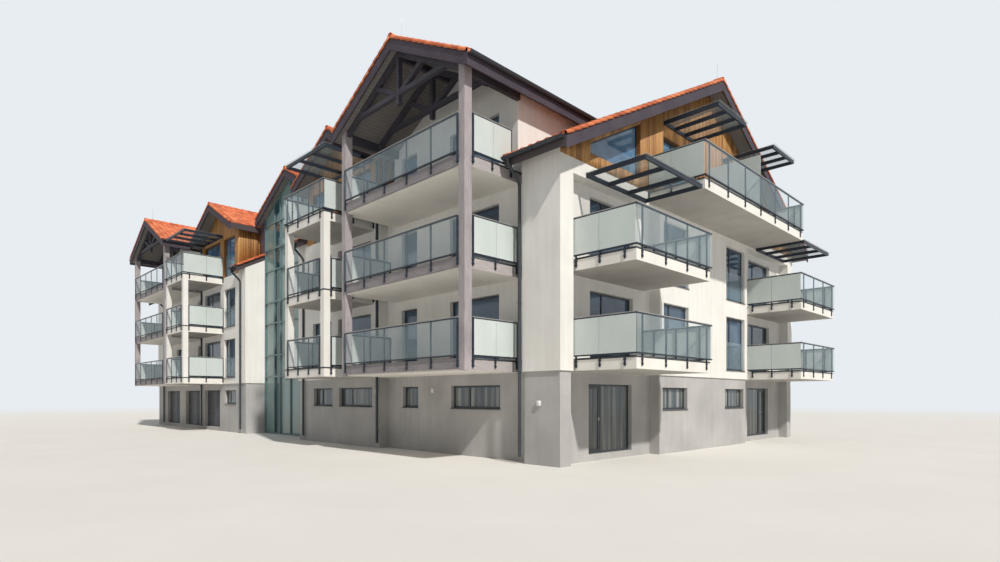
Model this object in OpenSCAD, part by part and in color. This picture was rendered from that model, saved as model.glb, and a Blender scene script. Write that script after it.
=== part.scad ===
// Apartment block with three full storeys and an attic, millimetres, +Z up.
// The body is mirror-symmetric about the stair tower; X runs along the front, Y from front to rear.
// Shapes are drawn with x = 0 at the middle of the tower, y = 0 at the front wall and z = 0 at the
// ground floor, and are shifted so that the origin is the middle of the whole block's underside.

/* [Body] */
// Half the distance between the two end walls
half_len = 18250; // [17950:50:21900]
// Distance between the front and rear walls
body_depth = 17570; // [15800:10:21100]
// Height from one floor to the next
storey = 2800; // [2600:50:3400]
// Thickness of the outer walls
wall_t = 400; // [320:10:480]
// How far the walls run down below the ground floor
base_drop = 200; // [100:10:600]
// Step by which the white walls stand out past the grey ground storey
render_step = 50; // [20:5:80]
// Thickness of the floors inside the walls
floor_t = 250; // [180:10:320]

/* [Roof] */
// Slope of all roofs in degrees
roof_pitch = 27.8; // [25:0.1:31]
// Thickness of the roofs, measured straight up
roof_t = 300; // [200:10:360]
// Overhang of the front and rear eaves
eave_over = 450; // [300:10:600]
// Overhang of the roof past the end walls
verge_over = 530; // [300:10:700]
// Height of the eaves' upper edge above the attic floor
eave_rise = 190; // [150:10:260]
// Thickness of the barge and fascia boards
board_t = 50; // [30:5:80]
// How far a barge board hangs below the roof
board_drop = 90; // [40:10:200]

/* [Front] */
// Half the width of the stair tower recess
tower_half = 2990; // [2700:10:3200]
// Depth of the stair tower recess
tower_depth = 1030; // [700:10:1300]
// Length of the portico bay, from its inner corner to the plain strip
bay_len = 7340; // [7230:10:7430]
// Width of the plain strip between the portico bay and the end wall
corner_strip = 1420; // [1300:10:1800]
// Depth of the portico bay behind the front wall
bay_depth = 390; // [300:10:450]

/* [Right end] */
// Depth of the recesses in the end walls
end_recess = 380; // [300:10:500]
// Width of the corner pillars of the end walls
pillar_w = 580; // [480:10:700]
// Half the width of the end walls' middle part
middle_half = 3535; // [3400:5:3700]
// Projection of the balconies at the right end
end_balcony_d = 1970; // [1700:10:2400]
// Projection of the attic balcony at the right end
top_balcony_d = 1930; // [1500:10:2150]

/* [Balconies] */
// Depth of the slab edges, down from the floor
slab_t = 340; // [280:10:400]
// Projection of the front balconies
front_balcony_d = 1880; // [1500:10:2200]
// Height of the rails above the floor
rail_h = 1120; // [1000:10:1200]
// Thickness of rail posts and handrails
rail_t = 50; // [40:5:60]
// Thickness of the glass in rails, guards and canopies
glass_t = 16; // [12:2:24]

/* [Openings] */
// Height of doors and French windows above the floor
head_h = 2120; // [2000:10:2250]
// Depth of the reveal in front of a window
reveal = 130; // [60:10:180]
// Width of a window frame's members
frame_w = 60; // [50:5:80]
// Depth of a window frame
frame_d = 70; // [60:5:90]
// Angle at which the terrace doors are drawn
door_open = 0; // [0:5:90]

/* [Hidden] */
$fn = 48;
eps = 1;

// Heights
attic_z = 3 * storey;
plinth_top = storey - slab_t;
slope = tan(roof_pitch);
seat_gap = 0.2;
soffit_drop = roof_t + seat_gap;
ridge_y = body_depth / 2;
eave_z = attic_z + eave_rise;
ridge_z = eave_z + (ridge_y + eave_over) * slope;

// Places along the front
bay_end = half_len - corner_strip;
bay_start = bay_end - bay_len;
end_in = half_len - end_recess;
room_end = end_in - wall_t;

// Cross gables: middle, half width at the eaves, eaves height, side wall faces, front edge. The
// dormer keeps its width beside the valley, or narrows where the tower's roof leaves it less
valley_out = 260;
valley_x = bay_start + valley_out;
tower_eave_half = 3500;
dormer_full_hw = 3125;
portico_eave_in = 80;
portico_side_in = [200, 530];
dormer_side_in = 360;
portico_verge_out = 170;
tower_verge_out = 260;
cross_eave_rise = 2520;
tower_eave_rise = 2880;
portico_hw = (bay_end - portico_eave_in - valley_x) / 2;
portico_cx = valley_x + portico_hw;
dormer_hw = min(dormer_full_hw, (valley_x - tower_eave_half) / 2);
dormer_cx = valley_x - dormer_hw;
cross_eave_z = attic_z + cross_eave_rise;
tower_eave_z = attic_z + tower_eave_rise;
portico_wall = [valley_x + portico_side_in[0], bay_end - portico_side_in[1]];
dormer_wall = [dormer_cx - dormer_hw + dormer_side_in, bay_start];
tower_wall = [-tower_half, tower_half];
cheek_t = 250;
portico_verge_y = -front_balcony_d - portico_verge_out;
dormer_verge_y = -550;
tower_verge_y = tower_depth - tower_verge_out;

// Front balconies
post_w = 240;
post_d = 270;
edge_board_t = 60;
edge_board_lift = 40;
portico_x_in = [290, 380];
portico_x = [valley_x + portico_x_in[0], bay_end - portico_x_in[1]];
portico_slab_y = edge_board_t - front_balcony_d;
stack_x = [bay_start - 3410, bay_start - 360];
stack_out = 190;
stack_y = -front_balcony_d - stack_out;
stack_post = 250;

// Right end balconies, along y
end_balcony_in = [80, 470];
end_balcony_y = [pillar_w + end_balcony_in[0], ridge_y - middle_half - end_balcony_in[1]];
top_balcony_half = 4250;
top_balcony_y = [ridge_y - top_balcony_half, ridge_y + top_balcony_half];
canopy_d = 1940;
sheet_front = 60;

// Window and door openings along the front and rear, in pairs of edges
front_spans = [
    [bay_start - 5140, bay_start - 3540], [bay_start - 3000, bay_start - 550],
    [bay_start + 910, bay_start + 1840], [bay_end - 3670, bay_end - 1330]
];
garage_spans = [
    [bay_start - 2770, bay_start - 360], [bay_start + 500, bay_start + 3060],
    [bay_start + 4260, bay_start + 6810]
];
wide_door = [pillar_w + 1280, pillar_w + 3620];
french_door = [ridge_y - 3285, ridge_y - 1545];
french_attic = [ridge_y - 3340, ridge_y - 1000];
low_sill = 1360;
low_head = 2100;
end_low_sill = 1300;
end_low_head = 2050;

// Terrace doors: the leaf, its fixed frame and the hinge
leaf_w = 663;
leaf_gap = 5;
latch_gap = 12;
leaf_sill = 45;
leaf_member = 80;
pane_t = 24;
knuckle_r = 12;
knuckle_h = 60;
knuckle_gap = 0.3;
knuckle_back = 14;
flag_gap = 3;
hinge_flag = [20, 40];
hinge_levels = [250, 1750];
frame_x = end_in - render_step - reveal;

// Whole extent, which sets the origin
rod_h = 760;
rod_r = 8;
end_rod_in = 180;
portico_rod_in = 400;
x_low = -half_len - verge_over - board_t;
x_high = half_len + max(end_balcony_d + rail_t, top_balcony_d + rail_t, canopy_d + sheet_front);
gutter_r = 75;
gutter_wall = 5;
y_low = min(portico_verge_y - board_t, stack_y - rail_t);
y_high = body_depth + eave_over + 2 * gutter_r;
origin_shift = [-(x_low + x_high) / 2, -(y_low + y_high) / 2, base_drop];

// Extrusions along each axis, of outlines drawn as (y, z), (x, z) and (x, y)
module along_x(a, b) { translate([a, 0, 0]) rotate([90, 0, 90]) linear_extrude(b - a) children(); }
module along_y(a, b) { translate([0, b, 0]) rotate([90, 0, 0]) linear_extrude(b - a) children(); }
module along_z(a, b) { translate([0, 0, a]) linear_extrude(b - a) children(); }

// A box given by its edges on the three axes
module block(x, y, z) {
    translate([x[0], y[0], z[0]]) cube([x[1] - x[0], y[1] - y[0], z[1] - z[0]]);
}

// The same shape on both halves of the front
module both_halves() {
    children();
    mirror([1, 0, 0]) children();
}

// The same shape on both halves of an end wall
module both_ends_of_wall() {
    children();
    translate([0, body_depth, 0]) mirror([0, 1, 0]) children();
}

// Outlines of the body in plan
function mirrored(points) = [for (i = [len(points) - 1 : -1 : 0]) [-points[i][0], points[i][1]]];

// Outer outline of one half, inset by d, from the tower to the rear
function outer_half(d) = [
    [tower_half + d, tower_depth + d], [tower_half + d, d],
    [bay_start - d, d], [bay_start - d, bay_depth + d], [bay_end + d, bay_depth + d], [bay_end + d, d],
    [half_len - d, d], [half_len - d, pillar_w - d], [end_in - d, pillar_w - d],
    [end_in - d, ridge_y - middle_half + d], [half_len - d, ridge_y - middle_half + d],
    [half_len - d, ridge_y + middle_half - d], [end_in - d, ridge_y + middle_half - d],
    [end_in - d, body_depth - pillar_w + d], [half_len - d, body_depth - pillar_w + d],
    [half_len - d, body_depth - d]
];

// Outline of the left half of the ground storey, where the front runs straight past the garages
function garage_half(d) = concat(
    [outer_half(d)[0], outer_half(d)[1]],
    [for (i = [6 : 15]) outer_half(d)[i]]
);

// Inner outline of one half, which is also the edge of the floors
frame_depth = 150;
function inner_half() = [
    [tower_half, tower_depth + frame_depth], [tower_half, tower_depth + wall_t],
    [tower_half + wall_t, tower_depth + wall_t], [tower_half + wall_t, wall_t],
    [bay_start - wall_t, wall_t], [bay_start - wall_t, bay_depth + wall_t],
    [room_end, bay_depth + wall_t],
    [room_end, ridge_y - middle_half + wall_t],
    [half_len - wall_t, ridge_y - middle_half + wall_t],
    [half_len - wall_t, ridge_y + middle_half - wall_t],
    [room_end, ridge_y + middle_half - wall_t],
    [room_end, body_depth - wall_t]
];

module floor_outline() { polygon(concat(inner_half(), mirrored(inner_half()))); }

module floor_plate(top, thickness) { along_z(top - thickness, top) floor_outline(); }

// The ring of the outer walls between two heights
module upper_ring(z) {
    difference() {
        along_z(z[0], z[1]) polygon(concat(outer_half(0), mirrored(outer_half(0))));
        along_z(z[0] - eps, z[1] + eps) floor_outline();
        tower_opening(z);
    }
}

module lower_ring(z) {
    difference() {
        along_z(z[0], z[1]) polygon(concat(outer_half(render_step), mirrored(garage_half(render_step))));
        along_z(z[0] - eps, z[1] + eps) floor_outline();
        tower_opening(z);
    }
}

// The part of the ring that the glazed tower front takes the place of
module tower_opening(z) {
    block([-tower_half, tower_half], [0, tower_depth + wall_t], [z[0] - eps, z[1] + eps]);
}

// Regions that divide the ring into its four sides
module front_region(z) {
    block([-room_end, room_end], [0, tower_depth + wall_t], z);
}
module rear_region(z) { block([-room_end, room_end], [body_depth - wall_t, body_depth], z); }
module right_region(z) { block([room_end, half_len], [0, body_depth], z); }
module left_region(z) { block([-half_len, -room_end], [0, body_depth], z); }

ground_z = [-base_drop, plinth_top];
upper_z = [plinth_top, attic_z];

// Roof profiles
function main_top(y) = eave_z + (min(y, body_depth - y) + eave_over) * slope;
function gable_top(cx, hw, ez, x) = ez + (hw - abs(x - cx)) * slope;

// Everything under the main roof's upper face, lowered by drop; it reaches past every piece by far
far = 4000;
module under_main(drop) {
    along_x(-half_len - far, half_len + far) polygon([
        [-far, main_top(-far) - drop], [ridge_y, ridge_z - drop],
        [body_depth + far, main_top(body_depth + far) - drop],
        [body_depth + far, -base_drop], [-far, -base_drop]
    ]);
}

// Everything under a cross gable's upper face, between two side faces, lowered by drop
module under_gable(cx, hw, ez, sides, drop) {
    along_y(-far, ridge_y) polygon([
        [sides[0], -base_drop], [sides[0], gable_top(cx, hw, ez, sides[0]) - drop],
        [cx, ez + hw * slope - drop],
        [sides[1], gable_top(cx, hw, ez, sides[1]) - drop], [sides[1], -base_drop]
    ]);
}

// A cross gable's two slopes: between its side walls they run down to the main roof's underside,
// beside them they end on its tiles
module cross_roof(cx, hw, ez, sides, front_y) {
    difference() {
        along_y(front_y, ridge_y) polygon([
            [cx - hw, ez - roof_t], [cx - hw, ez], [cx, ez + hw * slope], [cx + hw, ez],
            [cx + hw, ez - roof_t], [cx, ez + hw * slope - roof_t]
        ]);
        under_main(roof_t);
        intersection() {
            under_main(-seat_gap);
            for (x = [[cx - hw - eps, sides[0]], [sides[1], cx + hw + eps]])
                block(x, [front_y - eps, ridge_y], [0, ridge_z]);
        }
    }
}

// The side walls of a cross gable, which stand on the main roof's slope
module gable_cheeks(cx, hw, ez, sides, front_y) {
    for (x = [[sides[0], sides[0] + cheek_t], [sides[1] - cheek_t, sides[1]]])
        difference() {
            intersection() {
                block(x, [front_y, ridge_y], [attic_z, ridge_z]);
                under_gable(cx, hw, ez, sides, soffit_drop);
            }
            under_main(soffit_drop);
        }
}

// The front wall of a cross gable up to the roof's underside, with its openings
module gable_front(cx, hw, ez, sides, face_y, spans) {
    difference() {
        intersection() {
            block(sides, [face_y, face_y + wall_t], [attic_z, ridge_z]);
            under_gable(cx, hw, ez, sides, soffit_drop);
        }
        for (s = spans)
            block(s, [face_y - eps, face_y + wall_t + eps], [attic_z - eps, attic_z + head_h]);
    }
}

// One opening: side it is in, its two edges along that side, sill and head heights and outer face
function face_of(x) = (x > bay_start && x < bay_end) ? bay_depth : 0;
function flipped(s) = [-s[1], -s[0]];
function rear_of(s) = [body_depth - s[1], body_depth - s[0]];

upper_front = [for (f = [1, 2], s = front_spans, t = [s, flipped(s)])
    ["front", t, f * storey, f * storey + head_h, face_of(abs(s[0]))]];
upper_rear = [for (f = [1, 2], s = front_spans, t = [s, flipped(s)])
    ["rear", t, f * storey, f * storey + head_h, body_depth]];
lower_front = concat(
    [for (s = front_spans) ["front", s, low_sill, low_head, face_of(s[0]) + render_step]],
    [["front", flipped(front_spans[0]), low_sill, low_head, render_step]]
);
lower_rear = [for (s = front_spans, t = [s, flipped(s)])
    ["rear", t, end_low_sill, end_low_head, body_depth - render_step]];
function end_upper(side, face) = [for (f = [1, 2], t = [wide_door, rear_of(wide_door)])
    [side, t, f * storey, f * storey + head_h, face - end_recess]];
function end_middle(side, face) = [for (f = [1, 2], t = [french_door, rear_of(french_door)])
    [side, t, f * storey, f * storey + head_h, face]];
function end_lower(side, spans, inset) = [for (s = spans, t = [s, rear_of(s)])
    [side, t, end_low_sill, end_low_head, half_len - render_step - inset]];
attic_front = [for (s = front_spans, t = [s, flipped(s)])
    ["front", t, attic_z, attic_z + head_h, face_of(abs(s[0]))]];
attic_ends = [for (side = ["right", "left"], t = [french_attic, rear_of(french_attic)])
    [side, t, attic_z, attic_z + head_h, half_len]];

right_openings = concat(end_upper("right", half_len), end_middle("right", half_len),
    end_lower("right", [french_door], 0));
left_openings = concat(end_upper("left", half_len), end_middle("left", half_len),
    end_lower("left", [french_door], 0), end_lower("left", [wide_door], end_recess));
window_list = concat(upper_front, upper_rear, lower_front, lower_rear, attic_front, attic_ends,
    right_openings, left_openings);

// Puts a shape drawn with x along the wall, y inwards and z up at an opening's outer corner
module at_opening(o) {
    low = o[1][0];
    high = o[1][1];
    if (o[0] == "front") translate([low, o[4], o[2]]) children();
    if (o[0] == "rear") translate([high, o[4], o[2]]) rotate([0, 0, 180]) children();
    if (o[0] == "right") translate([o[4], low, o[2]]) rotate([0, 0, 90]) children();
    if (o[0] == "left") translate([-o[4], high, o[2]]) rotate([0, 0, -90]) children();
}
function opening_w(o) = o[1][1] - o[1][0];
function opening_h(o) = o[3] - o[2];

// An opening's cut starts outside every step of the wall and ends a little inside the room
cut_out = 200;
cut_in = 60;
module cut_openings(list) {
    for (o = list)
        at_opening(o)
            block([0, opening_w(o)], [-cut_out, wall_t + cut_in], [0, opening_h(o)]);
}

// A window frame: a ring, with a mullion at one third where it is wide
mullion_from = 1300;
module window_frame(w, h) {
    difference() {
        block([0, w], [reveal, reveal + frame_d], [0, h]);
        for (p = frame_panes(w, h))
            block(p[0], [reveal - eps, reveal + frame_d + eps], p[1]);
    }
}

// The clear spaces inside a frame
function frame_panes(w, h) =
    w < mullion_from
    ? [[[frame_w, w - frame_w], [frame_w, h - frame_w]]]
    : [[[frame_w, round(w / 3) - frame_w / 2], [frame_w, h - frame_w]],
       [[round(w / 3) + frame_w / 2, w - frame_w], [frame_w, h - frame_w]]];

module window_panes(w, h) {
    for (p = frame_panes(w, h))
        block(p[0], [reveal + frame_d / 2 - pane_t / 2, reveal + frame_d / 2 + pane_t / 2], p[1]);
}

// Slanted attic windows beside the end gables' balcony doors
slant_y = [1350, 4020];
slant_sill = 360;
slant_gap = 190;
function slant_outline(d) = [
    [slant_y[0] + d, attic_z + slant_sill + d], [slant_y[1] - d, attic_z + slant_sill + d],
    [slant_y[1] - d, main_top(slant_y[1] - d) - roof_t - slant_gap - d],
    [slant_y[0] + d, main_top(slant_y[0] + d) - roof_t - slant_gap - d]
];

// Base and floors
module ground_slab() color("gray") floor_plate(0, base_drop);
module first_floor_slab() color("gainsboro") floor_plate(storey, floor_t);
module second_floor_slab() color("gainsboro") floor_plate(2 * storey, floor_t);
module attic_floor_slab() color("gainsboro") floor_plate(attic_z, floor_t);

// Grey walls of the ground storey; above the garages a beam carries the set-back wall
beam_depth = 250;
module front_plinth() color("darkgray")
    difference() {
        intersection() {
            lower_ring(ground_z);
            front_region(ground_z);
        }
        cut_openings(lower_front);
        for (s = garage_spans)
            block(flipped(s), [-eps, wall_t + eps], [0, head_h]);
        block([-room_end, wall_t - bay_start], [wall_t, bay_depth + wall_t + eps],
            [0, plinth_top - beam_depth]);
    }

module right_plinth() {
    difference() {
        intersection() {
            lower_ring(ground_z);
            right_region(ground_z);
        }
        cut_openings(end_lower("right", [french_door], 0));
    }
}

module door_band(z) {
    both_ends_of_wall() block([room_end - eps, half_len], wide_door, z);
}

module right_plinth_piers() color("darkgray")
    difference() {
        right_plinth();
        door_band([0, plinth_top + eps]);
    }

module right_plinth_lintels() color("darkgray")
    intersection() {
        right_plinth();
        door_band([head_h, plinth_top]);
    }

module left_plinth() color("darkgray")
    difference() {
        intersection() {
            lower_ring(ground_z);
            left_region(ground_z);
        }
        cut_openings(end_lower("left", [french_door], 0));
        cut_openings(end_lower("left", [wide_door], end_recess));
    }

module rear_plinth() color("darkgray")
    difference() {
        intersection() {
            lower_ring(ground_z);
            rear_region(ground_z);
        }
        cut_openings(lower_rear);
    }

// White walls of the first and second storey
module eaves_infill(x, y) {
    intersection() {
        block(x, y, [attic_z, ridge_z]);
        under_main(soffit_drop);
    }
}

module front_wall() color("white") {
    difference() {
        intersection() {
            upper_ring(upper_z);
            front_region(upper_z);
        }
        cut_openings(upper_front);
    }
    both_halves() {
        eaves_infill([tower_half, dormer_wall[0]], [0, wall_t]);
        eaves_infill([tower_half, tower_half + wall_t], [wall_t, tower_depth + wall_t]);
        eaves_infill([dormer_wall[1], portico_wall[0]], [bay_depth, bay_depth + wall_t]);
        eaves_infill([portico_wall[1], bay_end], [bay_depth, bay_depth + wall_t]);
        eaves_infill([bay_end, half_len - wall_t], [0, wall_t]);
    }
}

// The band that closes each recess above the second storey's doors
recess_head_h = 420;
module recess_head(x) {
    both_ends_of_wall()
        block(x, [pillar_w, ridge_y - middle_half], [attic_z - recess_head_h, attic_z]);
}

module right_end_wall() color("white") {
    difference() {
        intersection() {
            upper_ring(upper_z);
            right_region(upper_z);
        }
        cut_openings(concat(end_upper("right", half_len), end_middle("right", half_len)));
    }
    recess_head([end_in, half_len]);
}

module left_end_wall() color("white") {
    difference() {
        intersection() {
            upper_ring(upper_z);
            left_region(upper_z);
        }
        cut_openings(concat(end_upper("left", half_len), end_middle("left", half_len)));
    }
    recess_head([-half_len, -end_in]);
}

module rear_wall() color("white") {
    difference() {
        intersection() {
            upper_ring(upper_z);
            rear_region(upper_z);
        }
        cut_openings(upper_rear);
    }
    eaves_infill([wall_t - half_len, half_len - wall_t], [body_depth - wall_t, body_depth]);
}

// Attic walls
module portico_gable_walls() color("white")
    both_halves() {
        gable_front(portico_cx, portico_hw, cross_eave_z, portico_wall, bay_depth,
            [front_spans[2], front_spans[3]]);
        gable_cheeks(portico_cx, portico_hw, cross_eave_z, portico_wall, bay_depth + wall_t);
    }

module dormer_gable_walls() color("peru")
    both_halves() {
        gable_front(dormer_cx, dormer_hw, cross_eave_z, dormer_wall, 0,
            [front_spans[0], front_spans[1]]);
        gable_cheeks(dormer_cx, dormer_hw, cross_eave_z, dormer_wall, wall_t);
    }

module end_gable(x) {
    difference() {
        intersection() {
            block(x, [0, body_depth], [attic_z, ridge_z]);
            under_main(soffit_drop);
        }
        both_ends_of_wall() {
            block([x[0] - eps, x[1] + eps], french_attic, [attic_z - eps, attic_z + head_h]);
            along_x(x[0] - eps, x[1] + eps) polygon(slant_outline(0));
        }
    }
}

module end_gable_walls() color("peru") {
    end_gable([half_len - wall_t, half_len]);
    end_gable([-half_len, wall_t - half_len]);
}

// Stair tower: dark panels beside the glazing and the tower's cheeks
panel_t = 100;
module stair_tower_panels() color("dimgray") {
    both_halves()
        difference() {
            intersection() {
                block([tower_half, tower_eave_half], [tower_depth, tower_depth + panel_t],
                    [attic_z, ridge_z]);
                under_gable(0, tower_eave_half, tower_eave_z, [-tower_eave_half, tower_eave_half],
                    soffit_drop);
            }
            under_main(-seat_gap);
        }
    gable_cheeks(0, tower_eave_half, tower_eave_z, tower_wall, tower_depth + frame_depth);
}

// Steel frame of the glazed tower front
member = 80;
tower_columns = [1150, 1830];
head_rail_drop = 100;
tower_rails = [storey, storey + rail_h, 2 * storey, 2 * storey + rail_h, attic_z, attic_z + rail_h];

module tower_front_outline(d) {
    polygon([
        [-tower_half + d, -base_drop + d], [tower_half - d, -base_drop + d],
        [tower_half - d, gable_top(0, tower_eave_half, tower_eave_z, tower_half - d) - soffit_drop - d],
        [0, tower_eave_z + tower_eave_half * slope - soffit_drop - d],
        [-tower_half + d, gable_top(0, tower_eave_half, tower_eave_z, tower_half - d) - soffit_drop - d]
    ]);
}

module tower_bars() {
    top = tower_eave_z + tower_eave_half * slope;
    y = [tower_depth, tower_depth + frame_depth];
    for (c = concat([0], tower_columns, -tower_columns))
        block([c - member / 2, c + member / 2], y, [-base_drop, top]);
    for (z = concat(tower_rails, [tower_eave_z - roof_t - head_rail_drop]))
        block([-tower_half, tower_half], y, [z - member / 2, z + member / 2]);
}

module stair_tower_frame() color("cadetblue") {
    difference() {
        along_y(tower_depth, tower_depth + frame_depth) tower_front_outline(0);
        along_y(tower_depth - eps, tower_depth + frame_depth + eps) tower_front_outline(member);
    }
    intersection() {
        tower_bars();
        along_y(tower_depth - eps, tower_depth + frame_depth + eps) tower_front_outline(member / 2);
    }
}

module stair_tower_panes() {
    difference() {
        along_y(tower_depth + frame_depth / 2 - pane_t / 2, tower_depth + frame_depth / 2 + pane_t / 2)
            tower_front_outline(member);
        tower_bars();
    }
}

// Roofs; the main eaves stop short of the portico's upper balcony
bay_eave_in = 270;
bay_eave_x = bay_end - bay_eave_in;
module main_roof_slope() {
    along_x(-half_len - verge_over, half_len + verge_over) polygon([
        [-eave_over, eave_z - roof_t], [-eave_over, eave_z],
        [ridge_y, ridge_z], [ridge_y, ridge_z - roof_t]
    ]);
}

module main_roof_front() color("orangered")
    difference() {
        main_roof_slope();
        both_halves() {
            under_gable(portico_cx, portico_hw, cross_eave_z, portico_wall, -seat_gap);
            under_gable(dormer_cx, dormer_hw, cross_eave_z, dormer_wall, -seat_gap);
            block([dormer_wall[1], bay_eave_x], [-far, bay_depth], [plinth_top, ridge_z]);
        }
        under_gable(0, tower_eave_half, tower_eave_z, tower_wall, -seat_gap);
    }

module main_roof_rear() color("orangered")
    translate([0, body_depth, 0]) mirror([0, 1, 0]) main_roof_slope();

module portico_roofs() color("orangered")
    both_halves() cross_roof(portico_cx, portico_hw, cross_eave_z, portico_wall, portico_verge_y);

module cross_gable_roofs() color("orangered") {
    both_halves() cross_roof(dormer_cx, dormer_hw, cross_eave_z, dormer_wall, dormer_verge_y);
    cross_roof(0, tower_eave_half, tower_eave_z, tower_wall, tower_verge_y);
}

// Barge boards along the verges and fascia boards along the free eaves
module barge_outline(cx, hw, ez) {
    polygon([
        [cx - hw, ez - roof_t - board_drop], [cx - hw, ez - board_t], [cx, ez + hw * slope - board_t],
        [cx + hw, ez - board_t], [cx + hw, ez - roof_t - board_drop],
        [cx, ez + hw * slope - roof_t - board_drop]
    ]);
}

module gable_barge(cx, hw, ez, front_y) {
    along_y(front_y - board_t, front_y) barge_outline(cx, hw, ez);
}

module end_barge(a, b) {
    along_x(a, b) barge_outline(ridge_y, ridge_y + eave_over, eave_z);
}

// The fascias of a portico's outer and inner eaves; the outer one ends against the main roof
module eaves_fascia() {
    z = [cross_eave_z - roof_t - board_drop, cross_eave_z - board_t];
    difference() {
        block([portico_cx + portico_hw, portico_cx + portico_hw + board_t],
            [portico_verge_y - board_t, ridge_y], z);
        under_main(-seat_gap);
    }
    block([valley_x - board_t, valley_x], [portico_verge_y - board_t, dormer_verge_y - board_t], z);
}

module roof_boards() color("dimgray") {
    both_halves() {
        gable_barge(portico_cx, portico_hw, cross_eave_z, portico_verge_y);
        gable_barge(dormer_cx, dormer_hw, cross_eave_z, dormer_verge_y);
        eaves_fascia();
    }
    gable_barge(0, tower_eave_half, tower_eave_z, tower_verge_y);
    end_barge(half_len + verge_over, half_len + verge_over + board_t);
    end_barge(-half_len - verge_over - board_t, -half_len - verge_over);
}

// Gutters and downpipes
gutter_drop = 40;
pipe_r = 50;
elbow_drop = 300;
tower_pipe_out = 560;
valley_pipe_out = 70;
module gutter_outline(y, z) {
    translate([y, z]) difference() {
        circle(gutter_r);
        circle(gutter_r - gutter_wall);
        translate([-2 * gutter_r, 0]) square([4 * gutter_r, 2 * gutter_r]);
    }
}

module front_gutter(x) {
    along_x(x[0], x[1]) gutter_outline(-eave_over - gutter_r, eave_z - gutter_drop);
}

// The gutters of a portico's two eaves, in front of their fascias
module portico_gutters() {
    z = cross_eave_z - gutter_drop;
    difference() {
        along_y(portico_verge_y - board_t, ridge_y)
            gutter_outline(portico_cx + portico_hw + board_t + gutter_r, z);
        under_main(-seat_gap);
    }
    along_y(portico_verge_y - board_t, dormer_verge_y - board_t)
        gutter_outline(valley_x - board_t - gutter_r, z);
}

module front_downpipe(x) {
    bottom_z = eave_z - gutter_drop - gutter_r;
    elbow_z = bottom_z - elbow_drop;
    translate([x, -eave_over - gutter_r, elbow_z]) cylinder(r = pipe_r, h = bottom_z - elbow_z + gutter_wall);
    block([x - pipe_r, x + pipe_r], [-eave_over - gutter_r - pipe_r, 0], [elbow_z - 2 * pipe_r, elbow_z]);
    translate([x, -pipe_r, 0]) cylinder(r = pipe_r, h = elbow_z - 2 * pipe_r);
}

module rear_downpipe(x) {
    bottom_z = eave_z - gutter_drop - gutter_r;
    elbow_z = bottom_z - elbow_drop;
    translate([x, body_depth, 0]) {
        translate([0, eave_over + gutter_r, elbow_z])
            cylinder(r = pipe_r, h = bottom_z - elbow_z + gutter_wall);
        block([-pipe_r, pipe_r], [0, eave_over + gutter_r + pipe_r], [elbow_z - 2 * pipe_r, elbow_z]);
        translate([0, pipe_r, 0]) cylinder(r = pipe_r, h = elbow_z - 2 * pipe_r);
    }
}

// The pipe below the valley between a portico and the dormer beside it, on the dormer's side
module valley_pipe() {
    translate([bay_start - valley_pipe_out, -pipe_r, 0]) cylinder(r = pipe_r, h = cross_eave_z - roof_t);
}

module gutters_and_downpipes() color("darkslategray") {
    both_halves() {
        front_gutter([bay_eave_x, half_len + verge_over]);
        front_gutter([tower_half, dormer_wall[0]]);
        portico_gutters();
        front_downpipe(bay_end - pipe_r);
        front_downpipe(tower_half + tower_pipe_out);
        valley_pipe();
    }
    along_x(-half_len - verge_over, half_len + verge_over)
        gutter_outline(body_depth + eave_over + gutter_r, eave_z - gutter_drop);
    for (x = [bay_start, -bay_start, room_end, -room_end]) rear_downpipe(x);
}

// Lightning rods at the ends of the main ridge and on the porticos
module lightning_rods() color("silver")
    both_halves() {
        translate([half_len + verge_over - end_rod_in, ridge_y, ridge_z]) cylinder(r = rod_r, h = rod_h);
        translate([portico_cx, portico_verge_y + portico_rod_in, cross_eave_z + portico_hw * slope])
            cylinder(r = rod_r, h = rod_h);
    }

// Porticos
function portico_under(x) = gable_top(portico_cx, portico_hw, cross_eave_z, x) - soffit_drop;

module portico_post(x) {
    intersection() {
        block([x, x + post_w], [-front_balcony_d, -front_balcony_d + post_d], [plinth_top, ridge_z]);
        under_gable(portico_cx, portico_hw, cross_eave_z, portico_x, soffit_drop);
    }
}

module portico_posts() color("rosybrown")
    both_halves() {
        portico_post(portico_x[0]);
        portico_post(portico_x[1] - post_w);
    }

// A truss plane: rafters, collar, king post and two struts
truss_w = 140;
truss_d = 190;
collar_drop = 1250;
king_tail = 420;
strut_run = 1300;
strut_foot = [200, 40];
strut_head = [470, 630];
module truss(y, sides) {
    apex = portico_under(portico_cx);
    collar = apex - collar_drop;
    intersection() {
        along_y(y, y + truss_w) {
            polygon([
                [sides[0], portico_under(sides[0])], [portico_cx, apex],
                [sides[1], portico_under(sides[1])], [sides[1], portico_under(sides[1]) - truss_d],
                [portico_cx, apex - truss_d], [sides[0], portico_under(sides[0]) - truss_d]
            ]);
            translate([sides[0], collar - truss_w]) square([sides[1] - sides[0], truss_w]);
            translate([portico_cx - truss_w / 2, collar - king_tail])
                square([truss_w, apex - collar + king_tail]);
            for (side = [-1, 1])
                polygon([
                    [portico_cx, collar - strut_foot[1]], [portico_cx, collar - strut_foot[0]],
                    [portico_cx + side * strut_run, collar + strut_head[0]],
                    [portico_cx + side * strut_run, collar + strut_head[1]]
                ]);
        }
        under_gable(portico_cx, portico_hw, cross_eave_z, sides, soffit_drop);
    }
}

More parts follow.
